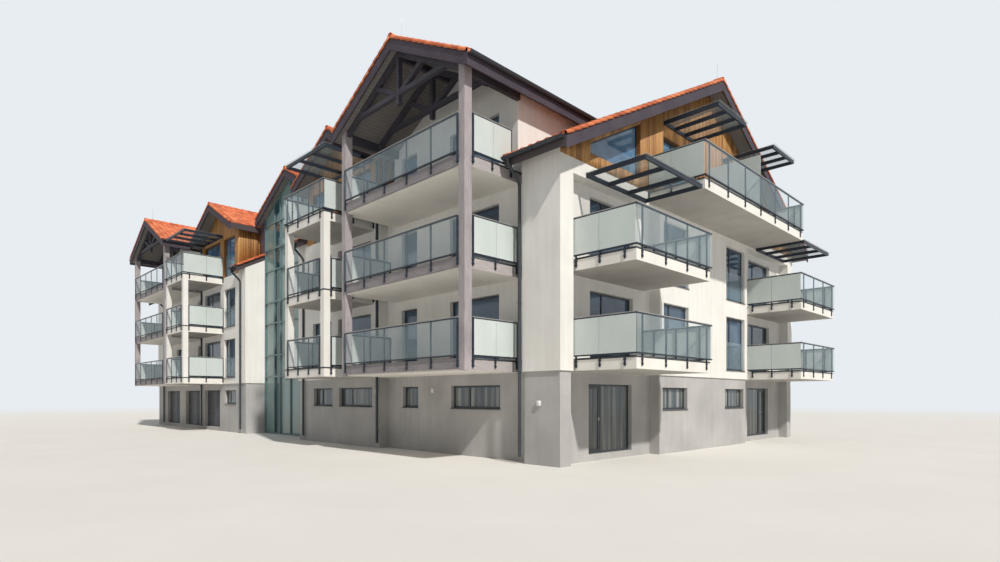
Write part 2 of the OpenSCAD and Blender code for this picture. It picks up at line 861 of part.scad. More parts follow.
// Beams under the portico roof from the front back to the wall: two at the eaves, one at the ridge
beam_w = 140;
beam_h = 200;
eaves_beam_x = [portico_x[0] + (post_w - beam_w) / 2, portico_x[1] - (post_w + beam_w) / 2];
module portico_beam(x, y) {
    top = portico_under(x < portico_cx - beam_w ? x + beam_w : x);
    intersection() {
        block([x, x + beam_w], y, [min(portico_under(x), portico_under(x + beam_w)) - beam_h, top + beam_w]);
        under_gable(portico_cx, portico_hw, cross_eave_z, portico_x, soffit_drop);
    }
}

truss_planes = [edge_board_t - front_balcony_d, -500];
module portico_trusses() color("darkslategray")
    both_halves() {
        truss(truss_planes[0], [portico_x[0] + post_w, portico_x[1] - post_w]);
        truss(truss_planes[1], [eaves_beam_x[0] + beam_w, eaves_beam_x[1]]);
        for (x = eaves_beam_x) portico_beam(x, [-front_balcony_d + post_d, bay_depth]);
        portico_beam(portico_cx - beam_w / 2, [truss_planes[0], bay_depth]);
    }

module post_notches() {
    for (x = [portico_x[0], portico_x[1] - post_w])
        block([x - eps, x + post_w + eps], [-front_balcony_d - eps, -front_balcony_d + post_d],
            [0, ridge_z]);
}

module portico_slabs() color("linen")
    both_halves()
        for (f = [1, 2, 3])
            difference() {
                block(portico_x, [portico_slab_y, bay_depth], [f * storey - slab_t, f * storey]);
                post_notches();
            }

module portico_edge_boards() color("dimgray")
    both_halves()
        for (f = [1, 2, 3])
            block([portico_x[0] + post_w, portico_x[1] - post_w], [-front_balcony_d, portico_slab_y],
                [f * storey - slab_t + edge_board_lift, f * storey]);

// Narrow balcony stacks beside the porticos
module stack_slabs() color("white")
    both_halves()
        for (f = [1, 2, 3])
            block(stack_x, [stack_y, 0], [f * storey - slab_t, f * storey]);

module stack_posts() color("white")
    both_halves()
        for (f = [1, 2], x = [stack_x[0], stack_x[1] - stack_post])
            block([x, x + stack_post], [stack_y, stack_y + stack_post],
                [f * storey, (f + 1) * storey - slab_t]);

// Slabs of the right end
module end_balcony_slabs() color("white") {
    both_ends_of_wall()
        for (f = [1, 2])
            block([end_in, half_len + end_balcony_d], end_balcony_y, [f * storey - slab_t, f * storey]);
    block([half_len, half_len + top_balcony_d], top_balcony_y, [attic_z - slab_t, attic_z]);
}

// A length of railing along x from 0 to w, standing outside a slab edge at y = 0. Its posts start
// inset[0] from one end and stop inset[1] from the other, and its glass stands in front of them
rail_foot = -260;
rail_bar = 40;
post_face = 44;
glass_foot = 90;
glass_joint = 10;
post_t = rail_t - glass_t;
function post_at(w, panels, inset, i) =
    inset[0] + round(i * (w - post_face - inset[0] - inset[1]) / panels);
// A post without an inset stands at the very end of its run and is as deep as the rails
function ends_run(panels, inset, i) = (i == 0 && inset[0] == 0) || (i == panels && inset[1] == 0);
module railing(w, panels, inset) {
    for (i = [0 : panels])
        translate([post_at(w, panels, inset, i), 0, 0])
            block([0, post_face], [ends_run(panels, inset, i) ? -rail_t : -post_t, 0],
                [rail_foot, rail_h]);
    block([0, w], [-rail_t, 0], [rail_h - rail_bar, rail_h]);
    block([0, w], [-rail_t, 0], [glass_foot - rail_bar, glass_foot]);
}

// The panes meet with a joint in front of each inner post and stop beside a post that ends the run
function pane_end(w, panels, inset, i) =
    i > 0 && i < panels ? post_at(w, panels, inset, i) + post_face / 2
    : i == 0 ? (ends_run(panels, inset, 0) ? post_face : 0)
    : w - (ends_run(panels, inset, panels) ? post_face : 0);
module railing_glass(w, panels, inset) {
    for (i = [0 : panels - 1])
        block([pane_end(w, panels, inset, i) + (i == 0 ? 0 : glass_joint / 2),
               pane_end(w, panels, inset, i + 1) - (i == panels - 1 ? 0 : glass_joint / 2)],
            [-rail_t, -post_t], [glass_foot, rail_h - rail_bar]);
}

// Places of the railings: corner, turn about z, length, number of panels and the posts' insets
no_inset = [0, 0];
corner_inset = [280, 280];
side_inset = [0, 280];
far_side_inset = [280, 0];
end_side_inset = [end_recess + 20, 320];
far_end_inset = [320, end_recess + 20];
front_rails = concat(
    [for (f = [1, 2, 3]) [[portico_x[0] + post_w, -front_balcony_d, f * storey], 0,
        portico_x[1] - portico_x[0] - 2 * post_w, 5, no_inset]],
    [for (f = [1, 2]) [[stack_x[0] + stack_post, stack_y, f * storey], 0,
        stack_x[1] - stack_x[0] - 2 * stack_post, 3, no_inset]],
    [[[stack_x[0] - rail_t, stack_y, attic_z], 0, stack_x[1] - stack_x[0] + 2 * rail_t, 3,
        corner_inset]]
);
// How far the portico's side rails stop short of the wall, floor by floor
portico_side_gap = [220, 220, 460];
function portico_side_end(f) = bay_depth - portico_side_gap[f - 1];
function portico_side_w(f) = portico_side_end(f) + front_balcony_d - post_d;
stack_side_w = -stack_y - stack_post;
front_side_rails = concat(
    [for (f = [1, 2, 3])
        [[portico_x[1], -front_balcony_d + post_d, f * storey], 90, portico_side_w(f), 2, no_inset]],
    [for (f = [1, 2, 3])
        [[portico_x[0], portico_side_end(f), f * storey], -90, portico_side_w(f), 2, no_inset]],
    [for (f = [1, 2]) [[stack_x[1], stack_y + stack_post, f * storey], 90, stack_side_w, 2, no_inset]],
    [for (f = [1, 2]) [[stack_x[0], 0, f * storey], -90, stack_side_w, 2, no_inset]],
    [[[stack_x[1], stack_y, attic_z], 90, -stack_y, 2, far_side_inset],
     [[stack_x[0], 0, attic_z], -90, -stack_y, 2, side_inset]]
);
end_w = end_balcony_y[1] - end_balcony_y[0];
top_w = top_balcony_y[1] - top_balcony_y[0];
end_fronts = [for (f = [1, 2]) [[half_len + end_balcony_d, end_balcony_y[0] - rail_t, f * storey], 90,
    end_w + 2 * rail_t, 3, corner_inset]];
top_front = [[half_len + top_balcony_d, top_balcony_y[0] - rail_t, attic_z], 90, top_w + 2 * rail_t, 6,
    corner_inset];
end_sides = concat(
    [for (f = [1, 2]) [[end_in, end_balcony_y[0], f * storey], 0, end_balcony_d + end_recess, 2,
        end_side_inset]],
    [for (f = [1, 2]) [[half_len + end_balcony_d, end_balcony_y[1], f * storey], 180,
        end_balcony_d + end_recess, 2, far_end_inset]]
);
top_sides = [[[half_len, top_balcony_y[0], attic_z], 0, top_balcony_d, 2, side_inset],
    [[half_len + top_balcony_d, top_balcony_y[1], attic_z], 180, top_balcony_d, 2, far_side_inset]];

module at_rail(r) { translate(r[0]) rotate([0, 0, r[1]]) children(); }

module front_railings() color("darkslategray") {
    both_halves() for (r = front_rails) at_rail(r) railing(r[2], r[3], r[4]);
    both_ends_of_wall() for (r = end_fronts) at_rail(r) railing(r[2], r[3], r[4]);
    at_rail(top_front) railing(top_front[2], top_front[3], top_front[4]);
}

module side_railings() color("darkslategray") {
    both_halves() for (r = front_side_rails) at_rail(r) railing(r[2], r[3], r[4]);
    both_ends_of_wall() for (r = end_sides) at_rail(r) railing(r[2], r[3], r[4]);
    for (r = top_sides) at_rail(r) railing(r[2], r[3], r[4]);
}

module clear_rail_glass() color("lightblue", 0.5) {
    both_halves() for (r = front_rails) at_rail(r) railing_glass(r[2], r[3], r[4]);
    both_ends_of_wall() for (r = end_fronts) at_rail(r) railing_glass(r[2], r[3], r[4]);
    at_rail(top_front) railing_glass(top_front[2], top_front[3], top_front[4]);
}

// The frosted panels at the sides and the screen that divides the attic balcony
screen_h = 1900;
module frosted_rail_glass() color("honeydew") {
    both_halves() for (r = front_side_rails) at_rail(r) railing_glass(r[2], r[3], r[4]);
    both_ends_of_wall() for (r = end_sides) at_rail(r) railing_glass(r[2], r[3], r[4]);
    for (r = top_sides) at_rail(r) railing_glass(r[2], r[3], r[4]);
    block([half_len, half_len + top_balcony_d], [ridge_y - glass_t / 2, ridge_y + glass_t / 2],
        [attic_z, attic_z + screen_h]);
}

// Glass guards across the French windows that have no balcony
guard_list = concat(
    [for (f = [1, 2], t = [front_spans[0], flipped(front_spans[0])])
        ["front", t, f * storey, f * storey + rail_h, 0]],
    [for (f = [1, 2], side = ["right", "left"], t = [french_door, rear_of(french_door)])
        [side, t, f * storey, f * storey + rail_h, half_len]],
    [for (f = [1, 2], t = [wide_door, rear_of(wide_door)])
        ["left", t, f * storey, f * storey + rail_h, end_in]],
    [for (t = [french_attic, rear_of(french_attic)])
        ["left", t, attic_z, attic_z + rail_h, half_len]],
    [for (t = [front_spans[0], flipped(front_spans[0])])
        ["front", t, attic_z, attic_z + rail_h, 0]],
    [for (f = [1, 2], s = front_spans, t = [s, flipped(s)])
        ["rear", t, f * storey, f * storey + rail_h, body_depth]]
);

guard_out = 60;
guard_foot = 60;
module window_guards() color("lightcyan", 0.6)
    for (o = guard_list)
        at_opening(o)
            block([0, opening_w(o)], [reveal - guard_out, reveal - guard_out + glass_t],
                [guard_foot, opening_h(o)]);

// Steel and glass canopies: a frame of beams with a sheet on top
canopy_beam = 60;
canopy_h = 120;
canopy_gaps = 3;
module canopy(w, d) {
    for (i = [0 : canopy_gaps])
        translate([round(i * (w - canopy_beam) / canopy_gaps), 0, 0])
            block([0, canopy_beam], [-d, 0], [0, canopy_h]);
    block([0, w], [-d, -d + canopy_beam], [0, canopy_h]);
    block([0, w], [-canopy_beam, 0], [0, canopy_h]);
}

canopy_y = [1160, 4350];
canopy_drop = 400;
top_canopy_y = [5460, 7580];
top_canopy_d = 1930;
top_canopy_rise = 2500;
stack_canopy_d = 2030;
stack_canopy_rise = 2280;
end_canopies = [
    [[half_len, canopy_y[0], attic_z - canopy_drop], 90, canopy_y[1] - canopy_y[0], canopy_d],
    [[half_len, top_canopy_y[0], attic_z + top_canopy_rise], 90, top_canopy_y[1] - top_canopy_y[0],
        top_canopy_d]
];
stack_canopy = [[stack_x[0], 0, attic_z + stack_canopy_rise], 0, stack_x[1] - stack_x[0],
    stack_canopy_d];

module canopy_frames() color("darkslategray") {
    both_ends_of_wall() for (c = end_canopies) at_rail(c) canopy(c[2], c[3]);
    both_halves() at_rail(stack_canopy) canopy(stack_canopy[2], stack_canopy[3]);
}

sheet_side = 40;
module canopy_sheet(w, d) {
    block([-sheet_side, w + sheet_side], [-d - sheet_front, 0], [canopy_h, canopy_h + glass_t]);
}

module canopy_glass() color("lightblue", 0.5) {
    both_ends_of_wall() for (c = end_canopies) at_rail(c) canopy_sheet(c[2], c[3]);
    both_halves() at_rail(stack_canopy) canopy_sheet(stack_canopy[2], stack_canopy[3]);
}

// Windows
module window_frames() color("darkslategray") {
    for (o = window_list)
        at_opening(o) window_frame(opening_w(o), opening_h(o));
    for (x = [half_len - reveal - frame_d, -half_len + reveal])
        both_ends_of_wall()
            difference() {
                along_x(x, x + frame_d) polygon(slant_outline(0));
                along_x(x - eps, x + frame_d + eps) polygon(slant_outline(frame_w));
            }
}

module window_glass() color("steelblue", 0.6) {
    for (o = window_list)
        at_opening(o) window_panes(opening_w(o), opening_h(o));
    for (x = [half_len - reveal - frame_d / 2, -half_len + reveal + frame_d / 2])
        both_ends_of_wall()
            along_x(x - pane_t / 2, x + pane_t / 2) polygon(slant_outline(frame_w));
    stair_tower_panes();
}

// Garage doors, closed panels that fill their openings
garage_door_t = 60;
garage_door_in = 180;
module garage_doors() color("dimgray")
    for (s = garage_spans)
        block(flipped(s), [render_step + garage_door_in, render_step + garage_door_in + garage_door_t],
            [0, head_h]);

// Terrace doors of the right end's recesses: a fixed frame, a fixed pane and an opening leaf
leaf_y = [wide_door[0] + frame_w + leaf_gap, wide_door[0] + frame_w + leaf_gap + leaf_w];
leaf_z = [leaf_sill + leaf_gap, head_h - frame_w - leaf_gap];
leaf_x = [frame_x - frame_d, frame_x];
hinge_x = leaf_x[0] - knuckle_back;
hinge_y = leaf_y[0] - leaf_gap;

module terrace_frame() {
    fixed_y = leaf_y[1] + latch_gap;
    difference() {
        block(leaf_x, wide_door, [0, head_h]);
        block([leaf_x[0] - eps, leaf_x[1] + eps], [leaf_y[0] - leaf_gap, fixed_y],
            [leaf_sill, head_h - frame_w]);
        block([leaf_x[0] - eps, leaf_x[0] + frame_d / 2 - pane_t / 2],
            [fixed_y + frame_w, wide_door[1] - frame_w], [frame_w, head_h - frame_w]);
        block([leaf_x[0] + frame_d / 2 + pane_t / 2, leaf_x[1] + eps],
            [fixed_y + frame_w, wide_door[1] - frame_w], [frame_w, head_h - frame_w]);
    }
    for (z = hinge_levels) {
        translate([hinge_x, hinge_y, z]) cylinder(r = knuckle_r, h = knuckle_h);
        block([hinge_x, leaf_x[0]], [wide_door[0] + hinge_flag[0], hinge_y], [z, z + knuckle_h]);
    }
}

module terrace_door_frames() color("darkslategray") both_ends_of_wall() terrace_frame();

// The leaf: a frame around a thinner pane, with the upper halves of its two hinges
module terrace_leaf() {
    difference() {
        block(leaf_x, leaf_y, leaf_z);
        for (x = [[leaf_x[0] - eps, leaf_x[0] + frame_d / 2 - pane_t / 2],
                  [leaf_x[0] + frame_d / 2 + pane_t / 2, leaf_x[1] + eps]])
            block(x, [leaf_y[0] + leaf_member, leaf_y[1] - leaf_member],
                [leaf_z[0] + leaf_member, leaf_z[1] - leaf_member]);
    }
    for (z = hinge_levels)
        translate([0, 0, z + knuckle_h + knuckle_gap]) {
            translate([hinge_x, hinge_y, 0]) cylinder(r = knuckle_r, h = knuckle_h);
            block([hinge_x, leaf_x[0]], [hinge_y + flag_gap, leaf_y[0] + hinge_flag[1]], [0, knuckle_h]);
        }
}

module turned_leaf() {
    translate([hinge_x, hinge_y, 0]) rotate([0, 0, door_open]) translate([-hinge_x, -hinge_y, 0])
        terrace_leaf();
}

module near_terrace_door() color("slategray") turned_leaf();

module far_terrace_door() color("slategray")
    translate([0, body_depth, 0]) mirror([0, 1, 0]) turned_leaf();

module place() { translate(origin_shift) children(); }

place() ground_slab();
place() first_floor_slab();
place() second_floor_slab();
place() attic_floor_slab();
place() front_plinth();
place() right_plinth_piers();
place() right_plinth_lintels();
place() left_plinth();
place() rear_plinth();
place() front_wall();
place() right_end_wall();
place() left_end_wall();
place() rear_wall();
place() portico_gable_walls();
place() dormer_gable_walls();
place() end_gable_walls();
place() stair_tower_panels();
place() stair_tower_frame();
place() main_roof_front();
place() main_roof_rear();
place() portico_roofs();
place() cross_gable_roofs();
place() roof_boards();
place() gutters_and_downpipes();
place() lightning_rods();
place() portico_posts();
place() portico_trusses();
place() portico_slabs();
place() portico_edge_boards();
place() stack_slabs();
place() stack_posts();
place() end_balcony_slabs();
place() front_railings();
place() side_railings();
place() clear_rail_glass();
place() frosted_rail_glass();
place() window_guards();
place() canopy_frames();
place() canopy_glass();
place() window_frames();
place() window_glass();
place() garage_doors();
place() terrace_door_frames();
place() near_terrace_door();
place() far_terrace_door();
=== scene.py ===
"""Looks of the apartment block: tiled roofs, render, timber, glass and the fittings around them."""
import math
from collections import namedtuple

import bpy
import numpy as np
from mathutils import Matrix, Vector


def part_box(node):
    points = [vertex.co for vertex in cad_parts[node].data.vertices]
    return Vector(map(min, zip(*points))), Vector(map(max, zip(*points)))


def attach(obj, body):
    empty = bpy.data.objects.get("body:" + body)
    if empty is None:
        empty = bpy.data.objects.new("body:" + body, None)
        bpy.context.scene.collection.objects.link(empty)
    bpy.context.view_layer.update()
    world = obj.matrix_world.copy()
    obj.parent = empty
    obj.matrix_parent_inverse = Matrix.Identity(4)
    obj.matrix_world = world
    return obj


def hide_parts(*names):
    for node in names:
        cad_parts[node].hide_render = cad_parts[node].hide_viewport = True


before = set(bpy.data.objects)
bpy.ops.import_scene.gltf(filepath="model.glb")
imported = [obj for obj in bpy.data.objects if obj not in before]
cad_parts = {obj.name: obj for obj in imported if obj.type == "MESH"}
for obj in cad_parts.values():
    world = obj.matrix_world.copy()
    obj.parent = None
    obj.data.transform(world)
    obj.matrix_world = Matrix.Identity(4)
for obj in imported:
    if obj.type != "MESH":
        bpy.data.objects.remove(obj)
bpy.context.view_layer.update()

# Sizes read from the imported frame, in metres. Places below are given from the middle of the front
# wall at the ground floor: x along the front, y inwards, z up.
gable_low, gable_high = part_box("end_gable_walls")
roof_low, roof_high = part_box("main_roof_front")
MID_X = (gable_low.x + gable_high.x) / 2
FRONT_Y = gable_low.y
FLOOR_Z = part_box("ground_slab")[1].z
ORIGIN = np.array([MID_X, FRONT_Y, FLOOR_Z])
HALF = (gable_high.x - gable_low.x) / 2
DEPTH = gable_high.y - gable_low.y
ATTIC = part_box("attic_floor_slab")[1].z - FLOOR_Z
STOREY = ATTIC / 3
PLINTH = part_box("front_wall")[0].z - FLOOR_Z

# Roof: its thickness is the construction's, the rest follows from the roof's box
ROOF_T = 0.30
EAVE_Y = roof_low.y - FRONT_Y
EAVE_Z = roof_low.z - FLOOR_Z + ROOF_T
RIDGE_Y = roof_high.y - FRONT_Y
RIDGE_Z = roof_high.z - FLOOR_Z
VERGE_X = (roof_high.x - roof_low.x) / 2
SLOPE = (RIDGE_Z - EAVE_Z) / (RIDGE_Y - EAVE_Y)
PITCH = math.atan(SLOPE)
BOARD_T = 0.05

# Plan of the right half; the left half is its mirror image
TOWER_X = 2.99
TOWER_Y = 1.03
BAY = (9.49, 16.83)
BAY_Y = 0.39
BAY_EAVE_X = 16.56
WALL_T = 0.40
STEP = 0.05
END_RECESS = 0.38
HEAD = 2.12
REVEAL = 0.13
FRAME_D = 0.07
LEAF_FACE = HALF - END_RECESS - STEP - REVEAL
DOOR_PLANE = LEAF_FACE - FRAME_D / 2

Gable = namedtuple("Gable", "middle half eave sides front")
PORTICO = Gable(13.25, 3.5, ATTIC + 2.52, (9.95, 16.30), -2.05)
DORMER = Gable(6.625, 3.125, ATTIC + 2.52, (3.86, 9.49), -0.55)
TOWER = Gable(0.0, 3.5, ATTIC + 2.88, (-TOWER_X, TOWER_X), 0.77)

PORTICO_X = (10.04, 16.45)
PORTICO_Y = -1.88
POST = (0.24, 0.27)
STACK_X = (6.08, 9.13)
STACK_Y = -2.07
STACK_POST = 0.25
END_Y = (0.66, 4.78)
END_OUT = 1.97
TOP_Y = (4.535, 13.035)
TOP_OUT = 1.93
RAIL_H = 1.12
RAIL_T = 0.05
POST_FACE = 0.044
POST_T = 0.034

FRONT_SPANS = [(4.35, 5.95), (6.49, 8.94), (10.40, 11.33), (13.16, 15.50)]
GARAGE_SPANS = [(6.72, 9.13), (9.99, 12.55), (13.75, 16.30)]
WIDE_DOOR = (1.86, 4.20)
FRENCH_DOOR = (5.50, 7.24)
ATTIC_DOOR = (5.445, 7.785)
SLANT = (1.35, 4.02)
SLANT_SILL = 0.36
SLANT_GAP = 0.19
UP = np.array([0, 0, 1.0])
CHANCE = np.random.default_rng(11)


# Mesh building: every piece is a list of parts, each a grid of points and its quads
Part = namedtuple("Part", "points quads out tone")
MID_TONE = 0.5
NO_AREA = 1e-8
WELD = 1e-5
SHARPEST = 0.3
TINY = 1e-6
ROUND = 50
ROUND_METAL = 40


def sheet(points, out=None, wrap=False, tone=None):
    """A grid of points (rows, columns, 3) becomes quads between neighbours, and wrap closes its rows;
    out is a direction that an open sheet faces, and None means a closed shell, which is turned by its
    signed volume."""
    rows, cols = points.shape[:2]
    r = np.arange(rows - 1)[:, None] * cols
    c = np.arange(cols if wrap else cols - 1)[None, :]
    c2 = (c + 1) % cols
    quads = np.stack([r + c, r + c2, r + cols + c2, r + cols + c], -1).reshape(-1, 4)
    tones = np.broadcast_to(MID_TONE if tone is None else tone, (rows - 1, c.size)).ravel()
    return Part(points.reshape(-1, 3), quads, out, tones)


def tube(points, tone=None):
    """Rows of points that are closed profiles of an even count, with strips of quads over both ends."""
    body = sheet(points, wrap=True, tone=tone)
    rows, n = points.shape[:2]
    i = np.arange(n // 2 - 1)
    cap = np.stack([i, i + 1, n - 2 - i, n - 1 - i], -1)
    quads = np.vstack([body.quads, cap[:, ::-1], cap + (rows - 1) * n])
    return Part(body.points, quads, None, np.append(body.tone, np.full(2 * len(cap), MID_TONE)))


def moved(part, turn, shift=(0, 0, 0)):
    """The same part times a matrix and shifted; the way it faces turns with it."""
    out = None if part.out is None else np.asarray(part.out, float) @ turn
    return Part(part.points @ turn + np.asarray(shift, float), part.quads, out, part.tone)


def mirrored(part):
    """The same part on the other half: x becomes -x."""
    return moved(part, np.diag([-1, 1, 1]))


def turned_back(part):
    """The same part on the other half of an end wall: y becomes DEPTH - y."""
    return moved(part, np.diag([1, -1, 1]), (0, DEPTH, 0))


def placed(part, corner, degrees=0.0):
    """A part turned about z and moved to a corner."""
    a = math.radians(degrees)
    turn = [[math.cos(a), math.sin(a), 0], [-math.sin(a), math.cos(a), 0], [0, 0, 1]]
    return moved(part, np.array(turn), corner)


def back_of(span):
    return DEPTH - span[1], DEPTH - span[0]


def both(parts, image=mirrored):
    return list(parts) + [image(p) for p in parts]


def triangles(part):
    """Each quad as two triangles, without those of no area, facing outwards."""
    q = part.quads
    tris = np.vstack([q[:, [0, 1, 2]], q[:, [0, 2, 3]]])
    tone = np.concatenate([part.tone, part.tone])
    a, b, c = (part.points[tris[:, i]] for i in range(3))
    normal = np.cross(b - a, c - a)
    keep = np.linalg.norm(normal, axis=1) > NO_AREA
    tris, tone, normal = tris[keep], tone[keep], normal[keep]
    facing = ((a[keep] if part.out is None else part.out) * normal).sum()
    return (tris if facing > 0 else tris[:, ::-1]), tone


def added(name, data):
    obj = bpy.data.objects.new(name, data)
    bpy.context.collection.objects.link(obj)
    return obj


def build(name, parts, look, body="building", hides=(), smooth=None):
    """One mesh object from parts: points that coincide are welded, the rest stays as worked out."""
    tris, tones, start = [], [], 0
    for p in parts:
        t, tone = triangles(p)
        tris.append(t + start)
        tones.append(tone)
        start += len(p.points)
    points = np.vstack([p.points for p in parts])
    tris = np.vstack(tris)
    tones = np.concatenate(tones)
    _, first, same = np.unique(np.round(points / WELD).astype(np.int64), axis=0,
                               return_index=True, return_inverse=True)
    tris = same.reshape(-1)[tris]
    whole = (tris[:, 0] != tris[:, 1]) & (tris[:, 1] != tris[:, 2]) & (tris[:, 0] != tris[:, 2])
    tris, tones = tris[whole], tones[whole]
    mesh = bpy.data.meshes.new(name)
    mesh.vertices.add(len(first))
    mesh.vertices.foreach_set("co", (points[first] + ORIGIN).astype(np.float32).ravel())
    mesh.loops.add(tris.size)
    mesh.loops.foreach_set("vertex_index", tris.astype(np.int32).ravel())
    mesh.polygons.add(len(tris))
    mesh.polygons.foreach_set("loop_start", np.arange(0, tris.size, 3, dtype=np.int32))
    mesh.update(calc_edges=True)
    shade = mesh.attributes.new("tone", "FLOAT", "FACE")
    shade.data.foreach_set("value", tones.astype(np.float32))
    if smooth:
        mesh.polygons.foreach_set("use_smooth", np.ones(len(tris), bool))
        mesh.set_sharp_from_angle(angle=math.radians(smooth))
    mesh.materials.append(look)
    obj = added(name, mesh)
    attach(obj, body)
    if hides:
        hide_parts(*hides)


def circle(radius, count=12):
    """A closed round profile of count points."""
    a = np.arange(count) * 2 * math.pi / count
    return radius * np.stack([np.cos(a), np.sin(a)], -1)


def bent_strip(radius, thickness, start, end, steps):
    """A profile between two arcs, as a closed loop: the outer arc, then the inner one back."""
    a = np.radians(np.linspace(start, end, steps + 1))
    arc = np.stack([np.cos(a), np.sin(a)], -1)
    return np.vstack([radius * arc, (radius - thickness) * arc[::-1]])


def rounded(width, height, radius, steps=2):
    """A closed rectangle with its corners rounded by arcs of steps + 1 points."""
    a = np.linspace(0, math.pi / 2, steps + 1)
    corners = [(1, 1, 0), (-1, 1, 1), (-1, -1, 2), (1, -1, 3)]
    return np.vstack([
        np.stack([sx * (width / 2 - radius) + radius * np.cos(a + k * math.pi / 2),
                  sy * (height / 2 - radius) + radius * np.sin(a + k * math.pi / 2)], -1)
        for sx, sy, k in corners])


def sweep(path, profile, up=(0, 0, 1)):
    """Carries a closed profile along a path: point = path + s*side + o*over, with side = tangent x up
    and over = side x tangent, stretched across a bend by 1/cos of half its angle."""
    path = np.asarray(path, float)
    steps = np.diff(path, axis=0)
    steps /= np.linalg.norm(steps, axis=1, keepdims=True)
    before, after = np.vstack([steps[:1], steps]), np.vstack([steps, steps[-1:]])
    tangent = before + after
    tangent /= np.linalg.norm(tangent, axis=1, keepdims=True)
    side = np.cross(tangent, up)
    side /= np.linalg.norm(side, axis=1, keepdims=True)
    over = np.cross(side, tangent)
    offset = side[:, None] * profile[:, 0, None] + over[:, None] * profile[:, 1, None]
    bend = after - before
    length = np.linalg.norm(bend, axis=1, keepdims=True)
    bend = np.divide(bend, length, out=np.zeros_like(bend), where=length > TINY)
    stretch = 1 / np.maximum(np.einsum("ij,ij->i", tangent, after), SHARPEST) - 1
    offset += bend[:, None] * np.einsum("ijk,ik->ij", offset, bend)[..., None] * stretch[:, None, None]
    return tube(path[:, None] + offset)


def pillow(centre, size, power=0.35, rows=5, cols=8):
    """A superellipsoid: x = a cos^p(v) cos^p(u), y = b cos^p(v) sin^p(u), z = c sin^p(v), with signed
    powers, so that a low p gives a block with soft edges."""
    def signed(wave):
        return np.sign(wave) * np.abs(wave) ** power

    v = np.linspace(-math.pi / 2, math.pi / 2, rows + 1)[:, None]
    u = np.linspace(0, 2 * math.pi, cols, endpoint=False)[None, :] + math.pi / cols
    points = np.stack([signed(np.cos(v)) * signed(np.cos(u)), signed(np.cos(v)) * signed(np.sin(u)),
                       signed(np.sin(v)) * np.ones_like(u)], -1)
    return sheet(points * np.asarray(size) / 2 + np.asarray(centre), wrap=True)


# Materials: each is a small set of nodes on Object coordinates or on a piece's own tone attribute
CLOUDS = (0.35, 0.65)
FIBRES = (0.32, 0.68)
STREAKS = (0.30, 0.62)
FACING = 0.7
PAVER = (0.3, 0.006)
SOFFIT_BOARD = (0.12, 0.008)
NARROW_PANES = (1.15, 1.83)
SUNNY_DARK = (0.330, 0.300, 0.300)
SUNNY_PALE = (0.450, 0.412, 0.410)
WHITE_DARK = (0.755, 0.735, 0.700)
WHITE_PALE = (0.815, 0.800, 0.770)


def new_look(name, roughness, metallic=0.0, gloss=0.5):
    look = bpy.data.materials.new(name)
    look.use_nodes = True
    shader = look.node_tree.nodes["Principled BSDF"]
    for key, value in (("Roughness", roughness), ("Metallic", metallic), ("Specular IOR Level", gloss)):
        shader.inputs[key].default_value = value
    return look, look.node_tree, shader


def place_on(tree, stretch=(1, 1, 1)):
    """Object coordinates, stretched."""
    coords = tree.nodes.new("ShaderNodeTexCoord")
    mapping = tree.nodes.new("ShaderNodeMapping")
    mapping.inputs["Scale"].default_value = stretch
    tree.links.new(coords.outputs["Object"], mapping.inputs["Vector"])
    return mapping.outputs["Vector"]


def part_of(tree, vector, axis):
    """The part of a vector along X, Y or Z."""
    split = tree.nodes.new("ShaderNodeSeparateXYZ")
    tree.links.new(vector, split.inputs[0])
    return split.outputs[axis]


def normal_part(tree, axis):
    """The part of the true normal along X, Y or Z."""
    return part_of(tree, tree.nodes.new("ShaderNodeNewGeometry").outputs["True Normal"], axis)


def noise(tree, scale, detail=4.0, roughness=0.55, stretch=(1, 1, 1)):
    """Noise on Object coordinates."""
    node = tree.nodes.new("ShaderNodeTexNoise")
    for key, value in (("Scale", scale), ("Detail", detail), ("Roughness", roughness)):
        node.inputs[key].default_value = value
    tree.links.new(place_on(tree, stretch), node.inputs["Vector"])
    return node.outputs["Fac"]


def ramp(tree, value, stops):
    """Colours from a value; stops are (position, (r, g, b))."""
    node = tree.nodes.new("ShaderNodeValToRGB")
    elements = node.color_ramp.elements
    while len(elements) < len(stops):
        elements.new(0.5)
    for element, (position, shade) in zip(elements, stops):
        element.position = position
        element.color = (*shade, 1)
    tree.links.new(value, node.inputs["Fac"])
    return node.outputs["Color"]


def between(tree, value, dark, pale, ends=(0.3, 0.7)):
    """One colour up to the first of two values, the other from the second on."""
    return ramp(tree, value, list(zip(ends, (dark, pale))))


def feed(tree, socket, value):
    """Gives a socket a number, a colour (r, g, b) or another socket's value."""
    if isinstance(value, (int, float)):
        socket.default_value = value
    elif isinstance(value, tuple):
        socket.default_value = (*value, 1)
    else:
        tree.links.new(value, socket)


def maths(tree, operation, *values):
    node = tree.nodes.new("ShaderNodeMath")
    node.operation = operation
    for socket, value in zip(node.inputs, values):
        feed(tree, socket, value)
    return node.outputs[0]


def blended(tree, fac, a, b, kind="MIX"):
    """Two colours mixed; each may be a socket or (r, g, b)."""
    node = tree.nodes.new("ShaderNodeMix")
    node.data_type = "RGBA"
    node.blend_type = kind
    for i, value in zip((0, 6, 7), (fac, a, b)):
        feed(tree, node.inputs[i], value)
    return node.outputs[2]


def relief(tree, shader, height, depth):
    node = tree.nodes.new("ShaderNodeBump")
    node.inputs["Strength"].default_value = 1.0
    node.inputs["Distance"].default_value = depth
    tree.links.new(height, node.inputs["Height"])
    tree.links.new(node.outputs["Normal"], shader.inputs["Normal"])


def colour(tree, shader, socket):
    tree.links.new(socket, shader.inputs["Base Color"])


def off_plane(tree, axis, middle):
    """The distance from a plane across an axis."""
    return maths(tree, "ABSOLUTE", maths(tree, "SUBTRACT", part_of(tree, place_on(tree), axis), middle))


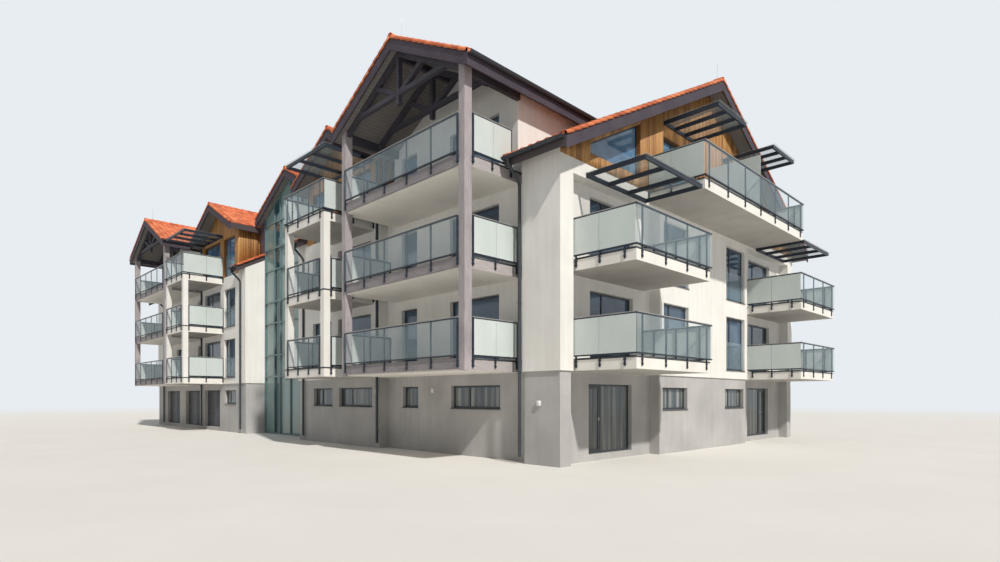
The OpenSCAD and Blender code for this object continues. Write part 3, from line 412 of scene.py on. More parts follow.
def joints_of(tree, axis, pitch, width):
    """1 in thin lines every pitch metres along an axis, 0 between them."""
    saw = maths(tree, "FRACT", maths(tree, "DIVIDE", part_of(tree, place_on(tree), axis), pitch))
    return maths(tree, "LESS_THAN", saw, width / pitch)


def own_tone(tree):
    """The tone that each tile or board carries as an attribute."""
    node = tree.nodes.new("ShaderNodeAttribute")
    node.attribute_name = "tone"
    return node.outputs["Fac"]


def plaster(tree, dark, pale):
    """Two close tones in clouds."""
    return between(tree, noise(tree, 0.7, 6.0), dark, pale, CLOUDS)


def render_look(name, dark, pale):
    """Fine render: two close tones in clouds, faint streaks from the rain, and a sandy grain."""
    look, tree, shader = new_look(name, 0.85)
    streaks = noise(tree, 1.0, 5.0, stretch=(5, 5, 0.35))
    shade = between(tree, streaks, (0.93, 0.93, 0.92), (1, 1, 1), STREAKS)
    colour(tree, shader, blended(tree, 1.0, plaster(tree, dark, pale), shade, "MULTIPLY"))
    relief(tree, shader, noise(tree, 55.0, 3.0), 0.004)
    return look


def slab_look(name, low, high, clad=False):
    """Balcony slabs: cream paint, whose downward faces take the tones low to high instead as painted light
    and shade, a painted shade darker than the paint on the plain slabs and a painted bounce light paler
    than it on the timber-edged ones, and square grey tiles on top; the ends of clad ones are covered in
    stained timber."""
    look, tree, shader = new_look(name, 0.8)
    clouds = noise(tree, 1.3, 6.0)
    paint = between(tree, clouds, (0.72, 0.695, 0.65), (0.79, 0.765, 0.72), CLOUDS)
    # below: the underside's tone stands in for the light it gets, painted shade where darker than the
    # paint, painted bounce light where paler
    below = between(tree, clouds, low, high, CLOUDS)
    paint = blended(tree, maths(tree, "LESS_THAN", normal_part(tree, "Z"), -FACING), paint, below)
    if clad:
        ends = maths(tree, "GREATER_THAN", maths(tree, "ABSOLUTE", normal_part(tree, "X")), FACING)
        fibres = noise(tree, 6.0, 8.0, 0.65, (5, 0.5, 5))
        paint = blended(tree, ends, paint, between(tree, fibres, SUNNY_DARK, SUNNY_PALE, FIBRES))
    joints = maths(tree, "MAXIMUM", *(joints_of(tree, axis, *PAVER) for axis in "XY"))
    pavers = between(tree, noise(tree, 4.0), (0.30, 0.29, 0.28), (0.38, 0.37, 0.35))
    top = maths(tree, "GREATER_THAN", normal_part(tree, "Z"), FACING)
    colour(tree, shader, blended(tree, top, paint, blended(tree, joints, pavers, (0.16, 0.155, 0.15))))
    relief(tree, shader, noise(tree, 45.0, 3.0), 0.003)
    return look


def timber_look(name, dark, pale, stretch, gloss=0.5):
    """Stained timber: fibres drawn out along the grain, with darker weathered patches."""
    look, tree, shader = new_look(name, 0.7, gloss=gloss)
    fibres = noise(tree, 6.0, 8.0, 0.65, stretch)
    patches = between(tree, noise(tree, 1.1), (0.82, 0.82, 0.84), (1.08, 1.06, 1.06), CLOUDS)
    base = between(tree, fibres, dark, pale, FIBRES)
    colour(tree, shader, blended(tree, 1.0, base, patches, "MULTIPLY"))
    relief(tree, shader, fibres, 0.006)
    return look


def board_look(name, white_ends=False):
    """Oiled cladding boards: every board has its own tone, and its fibres run up the wall. Where the
    wall behind them ends at the front and the rear, it may be white render instead."""
    look, tree, shader = new_look(name, 0.55)
    base = ramp(tree, own_tone(tree), [
        (0.0, (0.26, 0.116, 0.034)), (0.5, (0.40, 0.190, 0.055)), (1.0, (0.53, 0.275, 0.085))])
    fibres = noise(tree, 5.0, 7.0, 0.6, (9, 9, 0.7))
    grain = between(tree, fibres, (0.72, 0.68, 0.62), (1.1, 1.1, 1.1))
    base = blended(tree, 1.0, base, grain, "MULTIPLY")
    if white_ends:
        off = off_plane(tree, "Y", FRONT_Y + DEPTH / 2)
        ends = maths(tree, "GREATER_THAN", off, DEPTH / 2 - 0.002)
        base = blended(tree, ends, base, plaster(tree, WHITE_DARK, WHITE_PALE))
    colour(tree, shader, base)
    relief(tree, shader, fibres, 0.003)
    return look


def tile_look():
    """Clay tiles: each has its own tone between brick red and orange, with a dusty bloom."""
    look, tree, shader = new_look("clay tiles", 0.62)
    base = ramp(tree, own_tone(tree), [
        (0.0, (0.47, 0.098, 0.032)), (0.45, (0.63, 0.150, 0.050)), (1.0, (0.75, 0.222, 0.082))])
    bloom = between(tree, noise(tree, 3.0, 8.0, 0.6), (0.80, 0.78, 0.76), (1.10, 1.10, 1.12))
    colour(tree, shader, blended(tree, 1.0, base, bloom, "MULTIPLY"))
    relief(tree, shader, noise(tree, 60.0, 3.0), 0.003)
    return look


def roof_look():
    """Under the tiles: battens above, a dark fascia at the edges, pale grey soffit boards below."""
    look, tree, shader = new_look("roof soffit", 0.75)
    fibres = noise(tree, 4.0, 6.0, stretch=(12, 1.2, 12))
    boards = between(tree, fibres, (0.175, 0.160, 0.150), (0.245, 0.225, 0.210))
    below = blended(tree, joints_of(tree, "X", *SOFFIT_BOARD), boards, (0.07, 0.065, 0.06))
    up = normal_part(tree, "Z")
    edge = blended(tree, maths(tree, "LESS_THAN", up, 0.4), (0.30, 0.12, 0.08), (0.060, 0.046, 0.050))
    colour(tree, shader, blended(tree, maths(tree, "LESS_THAN", up, -0.4), edge, below))
    return look


def paint_look(name, base, roughness, metallic=0.0, gloss=0.5):
    """Painted or coated metal: one colour with a faint unevenness and a slight orange peel."""
    look, tree, shader = new_look(name, roughness, metallic, gloss)
    low, high = (tuple(c * share for c in base) for share in (0.88, 1.12))
    colour(tree, shader, between(tree, noise(tree, 2.2, 6.0), low, high))
    relief(tree, shader, noise(tree, 180.0, 2.0), 0.0006)
    return look


def glass_look(name, base, alpha, roughness, dusty=0.06, gloss=0.5):
    """Glass as a tinted see-through skin, with a little dust that shows as paler clouds."""
    look, tree, shader = new_look(name, roughness, gloss=gloss)
    low = tuple(max(c - dusty, 0) for c in base)
    high = tuple(min(c + dusty, 1) for c in base)
    colour(tree, shader, between(tree, noise(tree, 1.6, 6.0, stretch=(1, 1, 0.5)), low, high))
    shader.inputs["Alpha"].default_value = alpha
    return look


def curtain(tree):
    """The folds of a curtain behind dark glass: noise drawn out upwards."""
    return ramp(tree, noise(tree, 1.3, 3.0, stretch=(5.0, 5.0, 0.12)), [
        (0.34, (0.035, 0.050, 0.058)), (0.52, (0.105, 0.120, 0.120)), (0.66, (0.270, 0.280, 0.265))])


def window_look():
    """Dark insulating glass: the dark of the rooms behind it, tinted blue by a painted reflection of the
    sky, bluer in the attic where the painted sky reflection is stronger, and with curtains behind it at the
    ground storey; in the stair tower the wide panes are pale green and the narrow ones dark teal."""
    look, tree, shader = new_look("insulating glass", 0.06, gloss=0.65)
    clouds = noise(tree, 1.0, 3.0, stretch=(0.5, 0.5, 0.8))
    # dark: rooms behind the glass, tinted blue by a painted reflection of the sky
    dark = between(tree, clouds, (0.026, 0.048, 0.078), (0.066, 0.120, 0.190), CLOUDS)
    # sky: a painted reflection of the sky on the attic glass
    sky = between(tree, clouds, (0.060, 0.120, 0.205), (0.150, 0.290, 0.460), CLOUDS)
    across = off_plane(tree, "X", MID_X)
    narrow = maths(tree, "MULTIPLY", maths(tree, "GREATER_THAN", across, NARROW_PANES[0]),
                   maths(tree, "LESS_THAN", across, NARROW_PANES[1]))
    panes = blended(tree, narrow, (0.20, 0.29, 0.28), (0.020, 0.070, 0.080))
    depth, height = (part_of(tree, place_on(tree), axis) for axis in "YZ")
    inside = maths(tree, "MULTIPLY", maths(tree, "LESS_THAN", across, TOWER_X),
                   maths(tree, "LESS_THAN", depth, FRONT_Y + TOWER_Y + 0.3))
    low = maths(tree, "LESS_THAN", height, FLOOR_Z + PLINTH)
    high = maths(tree, "GREATER_THAN", height, FLOOR_Z + ATTIC)
    rooms = blended(tree, low, blended(tree, high, dark, sky), curtain(tree))
    colour(tree, shader, blended(tree, inside, rooms, panes))
    return look


def door_look():
    """Terrace doors: dark profiles, and next to their middle plane the pane, with the folds of a
    curtain behind it."""
    look, tree, shader = new_look("glazed door", 0.42)
    pane = maths(tree, "LESS_THAN", off_plane(tree, "X", MID_X + DOOR_PLANE), 0.014)
    profile = between(tree, noise(tree, 2.2), (0.034, 0.042, 0.052), (0.042, 0.052, 0.064))
    colour(tree, shader, blended(tree, pane, profile, curtain(tree)))
    tree.links.new(maths(tree, "SUBTRACT", 0.42, maths(tree, "MULTIPLY", pane, 0.36)),
                   shader.inputs["Roughness"])
    return look


def dressed(look, *members):
    """Gives a look to nodes of the construction, and hands it on."""
    for member in members:
        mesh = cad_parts[member].data
        mesh.materials.clear()
        mesh.materials.append(look)
    return look


dressed(render_look("white render", WHITE_DARK, WHITE_PALE), "front_wall", "right_end_wall",
        "left_end_wall", "rear_wall", "portico_gable_walls", "stack_posts")
dressed(render_look("grey render", (0.385, 0.375, 0.370), (0.470, 0.460, 0.450)), "front_plinth",
        "right_plinth_piers", "right_plinth_lintels", "left_plinth", "rear_plinth")
dressed(render_look("concrete", (0.42, 0.41, 0.39), (0.52, 0.51, 0.49)), "ground_slab",
        "first_floor_slab", "second_floor_slab", "attic_floor_slab")
# Underside tones here are painted shade, darker than the cream paint on the top and sides
dressed(slab_look("balcony slab", (0.405, 0.383, 0.350), (0.460, 0.438, 0.405)), "stack_slabs",
        "end_balcony_slabs")
# Underside tones here are painted bounce light, paler than the cream paint on the top and sides
dressed(slab_look("timber-edged slab", (0.89, 0.855, 0.785), (0.94, 0.905, 0.835), clad=True),
        "portico_slabs")
CLADDING = dressed(board_look("oiled cladding"), "dormer_gable_walls")
dressed(board_look("end gable wall", white_ends=True), "end_gable_walls")
TILES = tile_look()
dressed(roof_look(), "main_roof_front", "main_roof_rear", "portico_roofs", "cross_gable_roofs")
dressed(timber_look("post timber", (0.29, 0.262, 0.275), (0.43, 0.395, 0.400), (5, 5, 0.35)),
        "portico_posts")
dressed(timber_look("board timber", (0.046, 0.038, 0.048), (0.086, 0.071, 0.090), (0.5, 5, 5), 0.25),
        "roof_boards")
dressed(timber_look("edge board timber", (0.200, 0.184, 0.190), (0.310, 0.288, 0.294), (0.5, 0.5, 5)),
        "portico_edge_boards")
dressed(timber_look("truss timber", (0.042, 0.040, 0.052), (0.080, 0.076, 0.092), (0.7, 5, 5), 0.25),
        "portico_trusses")
dressed(paint_look("dark panel", (0.090, 0.062, 0.085), 0.42), "stair_tower_panels")
dressed(paint_look("teal steel", (0.115, 0.185, 0.205), 0.38), "stair_tower_frame")
STEEL = dressed(paint_look("anthracite steel", (0.026, 0.034, 0.048), 0.42, gloss=0.25),
                "front_railings", "side_railings", "canopy_frames")
CAP = paint_look("handrail", (0.300, 0.295, 0.290), 0.36)
GUTTER = paint_look("coated gutter", (0.044, 0.052, 0.062), 0.40, gloss=0.35)
SHEET = dressed(paint_look("dark sheet metal", (0.040, 0.046, 0.055), 0.40), "gutters_and_downpipes")
ZINC = dressed(paint_look("zinc", (0.45, 0.46, 0.47), 0.35, 0.9), "lightning_rods")
dressed(paint_look("window profile", (0.038, 0.047, 0.058), 0.42), "window_frames")
GARAGE = dressed(paint_look("garage sheet", (0.045, 0.050, 0.060), 0.5), "garage_doors")
LAMP = paint_look("white lamp", (0.72, 0.72, 0.70), 0.35)
dressed(glass_look("clear rail glass", (0.40, 0.54, 0.61), 0.15, 0.05, gloss=1.0), "clear_rail_glass",
        "window_guards")
dressed(glass_look("canopy glass", (0.45, 0.55, 0.56), 0.22, 0.06, gloss=1.0), "canopy_glass")
dressed(glass_look("frosted rail glass", (0.59, 0.65, 0.63), 0.93, 0.42, 0.03), "frosted_rail_glass")
dressed(window_look(), "window_glass")
dressed(door_look(), "terrace_door_frames", "near_terrace_door", "far_terrace_door")


# Roof tiles
TILE_W = 0.30
TILE_L = 0.335
TILE_LIFT = 0.028
TILE_ROLL = 0.034
DECK = 0.022
ROLL_SHAPE = np.array([0.0, 0.0, 0.55, 1.0, 0.55, 0.0, 0.0])
ROLL_STEPS = len(ROLL_SHAPE) - 1
NUDGE = 1e-4


def main_top(y):
    return EAVE_Z + (y - EAVE_Y) * SLOPE


def main_depth(z):
    """How far in the main roof's front slope reaches a height."""
    return EAVE_Y + (z - EAVE_Z) / SLOPE


def gable_top(g, x):
    return g.eave + (g.half - np.abs(x - g.middle)) * SLOPE


def crest(g):
    return g.eave + g.half * SLOPE


def tiled(origin, along, inward, columns, low, high, run):
    """Courses of pantiles on a slope: point = origin + u*along + s*(cos*inward + sin*up) + h*normal.
    h is the batten height, plus a saw tooth that rises TILE_LIFT at each course's lower edge, plus a
    roll across each tile's width. A column starts at low and ends at high, both horizontal runs."""
    slope_len = run / math.cos(PITCH)
    courses = max(1, round(slope_len / TILE_L))
    edges = np.linspace(0, slope_len, courses + 1)
    s = np.concatenate([[0.0], np.repeat(edges, 2)[1:-1]])
    lift = np.concatenate([[-DECK], np.tile([TILE_LIFT, 0.0], courses)])
    s_low, s_high = (np.broadcast_to(v, columns.shape) / math.cos(PITCH) for v in (low, high))
    rows = np.clip(s[:, None], s_low, s_high)
    outside = (s[:, None] < s_low - TINY) | (s[:, None] > s_high + TINY)
    across = np.mod(columns / TILE_W, 1.0) * ROLL_STEPS
    roll = np.interp(across, np.arange(ROLL_STEPS + 1), ROLL_SHAPE) * TILE_ROLL
    height = DECK + np.where(outside, 0.0, lift[:, None]) + roll * np.where(lift[:, None] < 0, 0, 1)
    slope_dir = np.asarray(inward) * math.cos(PITCH) + UP * math.sin(PITCH)
    normal = UP * math.cos(PITCH) - np.asarray(inward) * math.sin(PITCH)
    points = (origin + columns[None, :, None] * np.asarray(along)
              + rows[..., None] * slope_dir + height[..., None] * normal)
    course = np.repeat(np.arange(courses), 2)
    middle = (columns[:-1] + columns[1:]) / 2
    tile = np.floor(middle / TILE_W).astype(int)
    tones = CHANCE.random((courses, tile.max() - tile.min() + 1))
    return sheet(points, out=normal, tone=tones[course][:, tile - tile.min()])


def tile_columns(a, b):
    """Places across a slope: the sixths of every tile between a and b, and both ends."""
    step = TILE_W / ROLL_STEPS
    inner = np.arange(math.ceil(a / step + TINY), math.floor(b / step - TINY) + 1) * step
    return np.concatenate([[a], inner, [b]])


def main_front_tiles():
    """The front slope in strips between the lines where its lower edge jumps: at the cross gables'
    side walls it starts at the valley, elsewhere at the eaves or, over the bay, at its wall."""
    parts = []
    lines = [VERGE_X, BAY_EAVE_X, *PORTICO.sides, PORTICO.middle, BAY[0], DORMER.middle,
             DORMER.sides[0], TOWER_X]
    breaks = sorted([-line for line in lines] + [0.0] + lines)
    run = RIDGE_Y - EAVE_Y
    for a, b in zip(breaks, breaks[1:]):
        columns = tile_columns(a, b)
        x = np.clip(np.abs(columns), min(abs(a), abs(b)) + NUDGE, max(abs(a), abs(b)) - NUDGE)
        middle = (abs(a) + abs(b)) / 2
        low = np.zeros_like(x)
        for g in (PORTICO, DORMER, TOWER):
            if g.sides[0] < middle < g.sides[1]:
                low = np.clip((gable_top(g, x) - EAVE_Z) / SLOPE, 0, run)
        if BAY[0] < middle < BAY_EAVE_X and not PORTICO.sides[0] < middle < PORTICO.sides[1]:
            low = np.full_like(x, BAY_Y - EAVE_Y)
        parts.append(tiled((0, EAVE_Y, EAVE_Z), (1, 0, 0), (0, 1, 0), columns, low, run, run))
    return parts


def main_rear_tiles():
    columns = tile_columns(-VERGE_X, VERGE_X)
    run = RIDGE_Y - EAVE_Y
    return [tiled((0, 2 * RIDGE_Y - EAVE_Y, EAVE_Z), (1, 0, 0), (0, -1, 0), columns, 0, run, run)]


def gable_tiles(g):
    """Both slopes of a cross gable, from its front edge back to the valleys, where they meet the main
    roof's tiles."""
    columns = tile_columns(g.front, main_depth(crest(g)))
    low = np.clip((main_top(columns) - g.eave) / SLOPE, 0, g.half)
    return [tiled((g.middle + side * g.half, 0, g.eave), (0, 1, 0), (-side, 0, 0), columns, low,
                  g.half, g.half) for side in (-1, 1)]


def lapped(start, end, profile, across, over, pitch, lift, shrink=0.0):
    """A row of lapped pieces along a line: point = line + p*across + q*over, raised by lift at each
    piece's lower end and, where shrink is given, narrowed by it at the other; both ends are closed."""
    start, end = np.asarray(start, float), np.asarray(end, float)
    length = np.linalg.norm(end - start)
    count = max(1, round(length / pitch))
    s = np.repeat(np.linspace(0, length, count + 1), 2)[1:-1]
    high = np.tile([1.0, 0.0], count)
    line = start + s[:, None] * (end - start) / length
    size = 1 - shrink * (1 - high)
    points = (line[:, None] + np.asarray(across) * (profile[:, 0] * size[:, None])[..., None]
              + np.asarray(over) * (profile[:, 1] * size[:, None] + (lift * high)[:, None])[..., None])
    return tube(points, np.repeat(CHANCE.random(count), 2)[:-1][:, None])


RIDGE_PROFILE = bent_strip(0.135, 0.018, -4, 184, 6)
RIDGE_SEAT = -0.015
RIDGE_OVER = 0.06
RIDGE_LAP = (0.36, 0.012, 0.10)
VERGE_LIFT = 0.022
VERGE_PROFILE = np.array([[-0.17, 0.064], [-0.02, 0.070], [0.070, 0.054], [0.080, -0.042],
                          [0.062, -0.042], [0.054, 0.036], [-0.02, 0.046], [-0.168, 0.040]])


def ridge_caps():
    ends = [(side * (VERGE_X + RIDGE_OVER), RIDGE_Y, RIDGE_Z + RIDGE_SEAT) for side in (-1, 1)]
    parts = [lapped(*ends, RIDGE_PROFILE, (0, 1, 0), UP, *RIDGE_LAP)]
    for g in (PORTICO, DORMER, TOWER):
        top = crest(g) + RIDGE_SEAT
        cap = lapped((g.middle, g.front - RIDGE_OVER, top), (g.middle, main_depth(crest(g)), top),
                     RIDGE_PROFILE, (1, 0, 0), UP, *RIDGE_LAP)
        parts += [cap] if g is TOWER else both([cap])
    return parts


def verge(start, end, out):
    """Lapped edge tiles up a roof's edge, which turn down over the barge board on the side out."""
    start, end, out = (np.asarray(v, float) for v in (start, end, out))
    rise = (end - start) / np.linalg.norm(end - start)
    over = np.cross(rise, out)
    over *= np.sign(over[2])
    return lapped(start, end, VERGE_PROFILE, out, over, TILE_L, VERGE_LIFT)


def verge_tiles():
    parts = []
    for x in (-VERGE_X, VERGE_X):
        out = (np.sign(x), 0, 0)
        for eave in (EAVE_Y, 2 * RIDGE_Y - EAVE_Y):
            parts.append(verge((x, eave, EAVE_Z), (x, RIDGE_Y, RIDGE_Z), out))
    for g in (PORTICO, DORMER, TOWER):
        pair = [verge((g.middle + side * g.half, g.front, g.eave),
                      (g.middle, g.front, crest(g)), (0, -1, 0)) for side in (-1, 1)]
        parts += pair if g is TOWER else both(pair)
    for x, y in ((BAY_EAVE_X, BAY_Y), (TOWER_X, TOWER_Y)):
        parts += both([verge((x, EAVE_Y, EAVE_Z), (x, y, main_top(y)), (-1, 0, 0))])
    return parts


for tile_name, tile_parts, rounding in (
        ("main_front_tiles", main_front_tiles(), None), ("main_rear_tiles", main_rear_tiles(), None),
        ("portico_tiles", both(gable_tiles(PORTICO)), None),
        ("dormer_tiles", both(gable_tiles(DORMER)), None), ("tower_tiles", gable_tiles(TOWER), None),
        ("ridge_tiles", ridge_caps(), ROUND), ("verge_tiles", verge_tiles(), None)):
    build(tile_name, tile_parts, TILES, smooth=rounding)


# Gutters and downpipes, which stand for the construction's plainer ones
GUTTER_R = 0.075
GUTTER_DROP = 0.04
GUTTER_Z = EAVE_Z - GUTTER_DROP
GUTTER_PROFILE = bent_strip(GUTTER_R, 0.006, 180, 360, 10)
BEAD_R = 0.012
HOOK_R = GUTTER_R + 0.006
HOOK_EVERY = 0.9
PIPE_R = 0.05
OUTLET_Z = GUTTER_Z - GUTTER_R + 0.01
SWING_START = 0.06
SWING_DROP = 0.62
COLLAR_R = PIPE_R + 0.008
COLLAR_H = 0.05
COLLAR_FIRST = 0.4
COLLAR_EVERY = 2.0
TOWER_PIPE = 0.56
VALLEY_PIPE = 0.07


def trough(start, end, outer):
    """A half round gutter between two points, with a rolled edge on the side outer."""
    start, end, edge = np.array(start), np.array(end), GUTTER_R * np.array(outer)
    return [sweep([start, end], GUTTER_PROFILE), sweep([start + edge, end + edge], circle(BEAD_R, 8))]


def gutter(x0, x1, y):
    return trough((x0, y, GUTTER_Z), (x1, y, GUTTER_Z), (0, 1 if y > RIDGE_Y else -1, 0))


def portico_gutters():
    """Along the outer eave back to the main roof, and along the inner one back to the dormer."""
    g = PORTICO
    z = g.eave - GUTTER_DROP
    parts = []
    for side, back in ((1, main_depth(z - GUTTER_R)), (-1, DORMER.front - BOARD_T)):
        x = g.middle + side * (g.half + BOARD_T + GUTTER_R)
        parts += trough((x, g.front - BOARD_T, z), (x, back, z), (side, 0, 0))
    return parts


def gutter_hooks(x0, x1, y):
    """A strap under the gutter every HOOK_EVERY: an arc a little larger than the gutter, swept round."""
    a = np.radians(np.linspace(175, 365, 10))
    arc = np.stack([np.zeros_like(a), y + HOOK_R * np.cos(a), GUTTER_Z + HOOK_R * np.sin(a)], -1)
    strap = sweep(arc, rounded(0.03, 0.008, 0.002, 1), up=(1, 0, 0))
    return [placed(strap, (x, 0, 0)) for x in np.arange(x0 + 0.25, x1 - 0.1, HOOK_EVERY)]


def downpipe(x, y_top, y_wall, top=OUTLET_Z):
    """From the gutter's outlet the pipe swings back to the wall on a smooth step, y = a + (b - a)*
    (3t^2 - 2t^3), and then falls straight down, with a collar every COLLAR_EVERY."""
    t = np.linspace(0, 1, 13)
    y = y_top + (y_wall - y_top) * (3 * t ** 2 - 2 * t ** 3)
    swing = np.stack([np.full_like(t, x), y, top - SWING_START - SWING_DROP * t], -1)
    path = np.vstack([[(x, y_top, top)], swing, [(x, y_wall, 0)]])
    collars = [sweep([(x, y_wall, z), (x, y_wall, z + COLLAR_H)], circle(COLLAR_R), up=(0, 1, 0))
               for z in np.arange(COLLAR_FIRST, top - SWING_START - SWING_DROP, COLLAR_EVERY)]
    return [sweep(path, circle(PIPE_R), up=(1, 0, 0))] + collars


def rain_goods():
    front_y = EAVE_Y - GUTTER_R
    rear_y = 2 * RIDGE_Y - EAVE_Y + GUTTER_R
    parts = []
    for x0, x1 in ((BAY_EAVE_X, VERGE_X), (TOWER_X, DORMER.sides[0])):
        parts += both(gutter(x0, x1, front_y) + gutter_hooks(x0, x1, front_y))
    parts += both(portico_gutters())
    parts += both(downpipe(BAY[1] - PIPE_R, front_y, -PIPE_R)
                  + downpipe(TOWER_X + TOWER_PIPE, front_y, -PIPE_R)
                  + downpipe(BAY[0] - VALLEY_PIPE, -PIPE_R, -PIPE_R, DORMER.eave - ROOF_T))
    parts += gutter(-VERGE_X, VERGE_X, rear_y) + gutter_hooks(-VERGE_X, VERGE_X, rear_y)
    for x in (BAY[0], HALF - END_RECESS - WALL_T):
        parts += both(downpipe(x, rear_y, DEPTH + PIPE_R))
    return parts


build("rain_gutters_and_pipes", rain_goods(), GUTTER,
      hides=["gutters_and_downpipes"], smooth=ROUND_METAL)


# Cladding boards on the dormers and the end gables
BOARD_W = 0.135
BOARD_OUT = 0.020
BOARD_GAP = 0.006
BOARD_SEAT = 0.003
BOARD_TOP = 0.004
NARROWEST = 0.02
SHORTEST = 0.04


def cladding(corner, along, out, a, b, floor, ceiling, holes=()):
    """Upright boards on a wall: each is a plate BOARD_OUT proud with bevelled edges. A column runs from
    floor(u) to ceiling(u); holes are (u0, u1, bottom(u), top(u)) and split the columns that they cut."""
    cuts = {round(v, 5) for v in np.arange(a, b, BOARD_W)} | {a, b}
    cuts |= {h[i] for h in holes for i in (0, 1) if a < h[i] < b}
    cuts = sorted(cuts)
    strips = []
    for u0, u1 in zip(cuts, cuts[1:]):
        if u1 - u0 < NARROWEST:
            continue
        middle = (u0 + u1) / 2
        hole = next((h for h in holes if h[0] < middle < h[1]), None)
        if hole is None:
            strips.append((u0, u1, floor, ceiling))
        else:
            strips += [(u0, u1, floor, hole[2]), (u0, u1, hole[3], ceiling)]
    parts = []
    for u0, u1, low, high in strips:
        z = np.array([[low(u0), low(u1)], [high(u0), high(u1)]], float)
        if (z[1] - z[0]).min() < SHORTEST:
            continue
        u = np.array([u0, u0 + BOARD_GAP, u1 - BOARD_GAP, u1])
        w = (u - u0) / (u1 - u0)
        bottom, top = z[0, 0] + (z[0, 1] - z[0, 0]) * w, z[1, 0] + (z[1, 1] - z[1, 0]) * w
        rows = np.stack([bottom, bottom + BOARD_GAP, top - BOARD_GAP, top])
        depth = np.zeros((4, 4))
        depth[1:3, 1:3] = BOARD_OUT
        points = (corner + u[None, :, None] * np.asarray(along)
                  + rows[..., None] * UP + depth[..., None] * np.asarray(out))
        parts.append(sheet(points, out=out, tone=CHANCE.random()))
    return parts


def flat(level):
    return lambda u: level


def under_roof(y):
    """Height of the main roof's underside at a depth, on either slope."""
    return main_top(min(y, DEPTH - y)) - ROOF_T - BOARD_TOP


def end_cladding():
    """The two end gables, with holes for the balcony doors and the slanted windows."""
    holes = []
    for turn in (tuple, back_of):
        holes.append((*turn(ATTIC_DOOR), flat(ATTIC), flat(ATTIC + HEAD)))
        holes.append((*turn(SLANT), flat(ATTIC + SLANT_SILL),
                      lambda u: under_roof(u) + BOARD_TOP - SLANT_GAP))
    right = []
    for a, b in ((0.0, DEPTH / 2), (DEPTH / 2, DEPTH)):
        right += cladding((HALF, 0, 0), (0, 1, 0), (1, 0, 0), a, b, flat(ATTIC + BOARD_SEAT),
                          under_roof, holes)
    return both(right)


def dormer_cladding():
    g = DORMER

    def top(x):
        return gable_top(g, x) - ROOF_T - BOARD_TOP

    holes = [(*s, flat(ATTIC), flat(ATTIC + HEAD)) for s in FRONT_SPANS[:2]]
    front = []
    for a, b in ((g.sides[0], g.middle), (g.middle, g.sides[1])):
        front += cladding((0, 0, 0), (1, 0, 0), (0, -1, 0), a, b, flat(ATTIC + BOARD_SEAT), top, holes)
    sides = []
    for x, out in ((g.sides[0], -1), (g.sides[1], 1)):
        start = 0.0 if out < 0 else BAY_Y
        sides += cladding((x, 0, 0), (0, 1, 0), (out, 0, 0), start, main_depth(top(x)),
                          lambda y: main_top(y) + 0.01, flat(float(top(x))))
    return both(front + sides)


build("end_gable_boards", end_cladding(), CLADDING)
build("dormer_boards", dormer_cladding(), CLADDING)


# Railings: handrails and brackets on the construction's posts
Run = namedtuple("Run", "x y z turn length panels inset", defaults=[(0, 0)])
CORNERS = (0.28, 0.28)
ONE_CORNER = (0, 0.28)
END_CORNER = (END_RECESS + 0.02, 0.32)
SIDE_GAP = (0.22, 0.22, 0.46)
CAP_LIFT = 0.006
CAP_PROFILE = rounded(RAIL_T + 0.012, 0.03, 0.012)
BRACKET_W = 0.080
BRACKET_H = 0.045
BRACKET_OVER = 0.022
BRACKETS_Z = (-0.085, -0.205)
FLASHING = np.array([[-0.05, 0.006], [0.006, 0.006], [0.006, -0.045], [0.002, -0.045],
                     [0.002, 0.002], [-0.05, 0.002]])


def front_runs(span, y, back, z, post, panels, insets=((0, 0),) * 3):
    """A balcony on the front: along its edge y, and on both sides from there back to the wall; post is
    what its corners take away from the rails, in x and in y."""
    side = back - y - post[1]
    return [Run(span[0] + post[0], y, z, 0, span[1] - span[0] - 2 * post[0], panels, insets[0]),
            Run(span[1], y + post[1], z, 90, side, 2, insets[1]),
            Run(span[0], back, z, -90, side, 2, insets[2])]


def half_front_runs():
    runs = []
    for f, gap in zip((1, 2, 3), SIDE_GAP):
        runs += front_runs(PORTICO_X, PORTICO_Y, BAY_Y - gap, f * STOREY, POST, 5)
    for f in (1, 2):
        runs += front_runs(STACK_X, STACK_Y, 0, f * STOREY, (STACK_POST, STACK_POST), 3)
    return runs + front_runs(STACK_X, STACK_Y, 0, ATTIC, (-RAIL_T, 0), 3,
                             (CORNERS, ONE_CORNER[::-1], ONE_CORNER))


def end_runs(span, out, recess, z, panels, inset):
    """A balcony on the right end: along its edge, and on both sides from there back to the wall."""
    x = HALF + out
    return [Run(x, span[0] - RAIL_T, z, 90, span[1] - span[0] + 2 * RAIL_T, panels, CORNERS),
            Run(HALF - recess, span[0], z, 0, out + recess, 2, inset),
            Run(x, span[1], z, 180, out + recess, 2, inset[::-1])]


def handrail(run):
    path = [(x, -RAIL_T / 2, RAIL_H + CAP_LIFT) for x in (0, run.length)]
    return [placed(sweep(path, CAP_PROFILE), (run.x, run.y, run.z), run.turn)]


def fittings(run):
    """Two bracket plates with soft edges that hold the foot of each post to the slab's edge."""
    parts = []
    reach = run.length - POST_FACE - run.inset[0] - run.inset[1]
    for i in range(run.panels + 1):
        x = run.inset[0] + round(i * reach / run.panels, 3) + POST_FACE / 2
        ends_run = (i == 0 and run.inset[0] == 0) or (i == run.panels and run.inset[1] == 0)
        depth = RAIL_T if ends_run else POST_T
        size = (BRACKET_W, depth + BRACKET_OVER, BRACKET_H)
        parts += [pillow((x, -depth / 2, z), size, 0.4, 4, 6) for z in BRACKETS_Z]
    return [placed(p, (run.x, run.y, run.z), run.turn) for p in parts]


def flashing(corners, z):
    """A thin metal edge along a slab's top: an L that covers the rim, carried round its corners."""
    return sweep([(x, y, z) for x, y in corners], FLASHING)


def end_flashing(span, out, z):
    x = HALF + out
    return flashing([(HALF, span[0]), (x, span[0]), (x, span[1]), (HALF, span[1])], z)


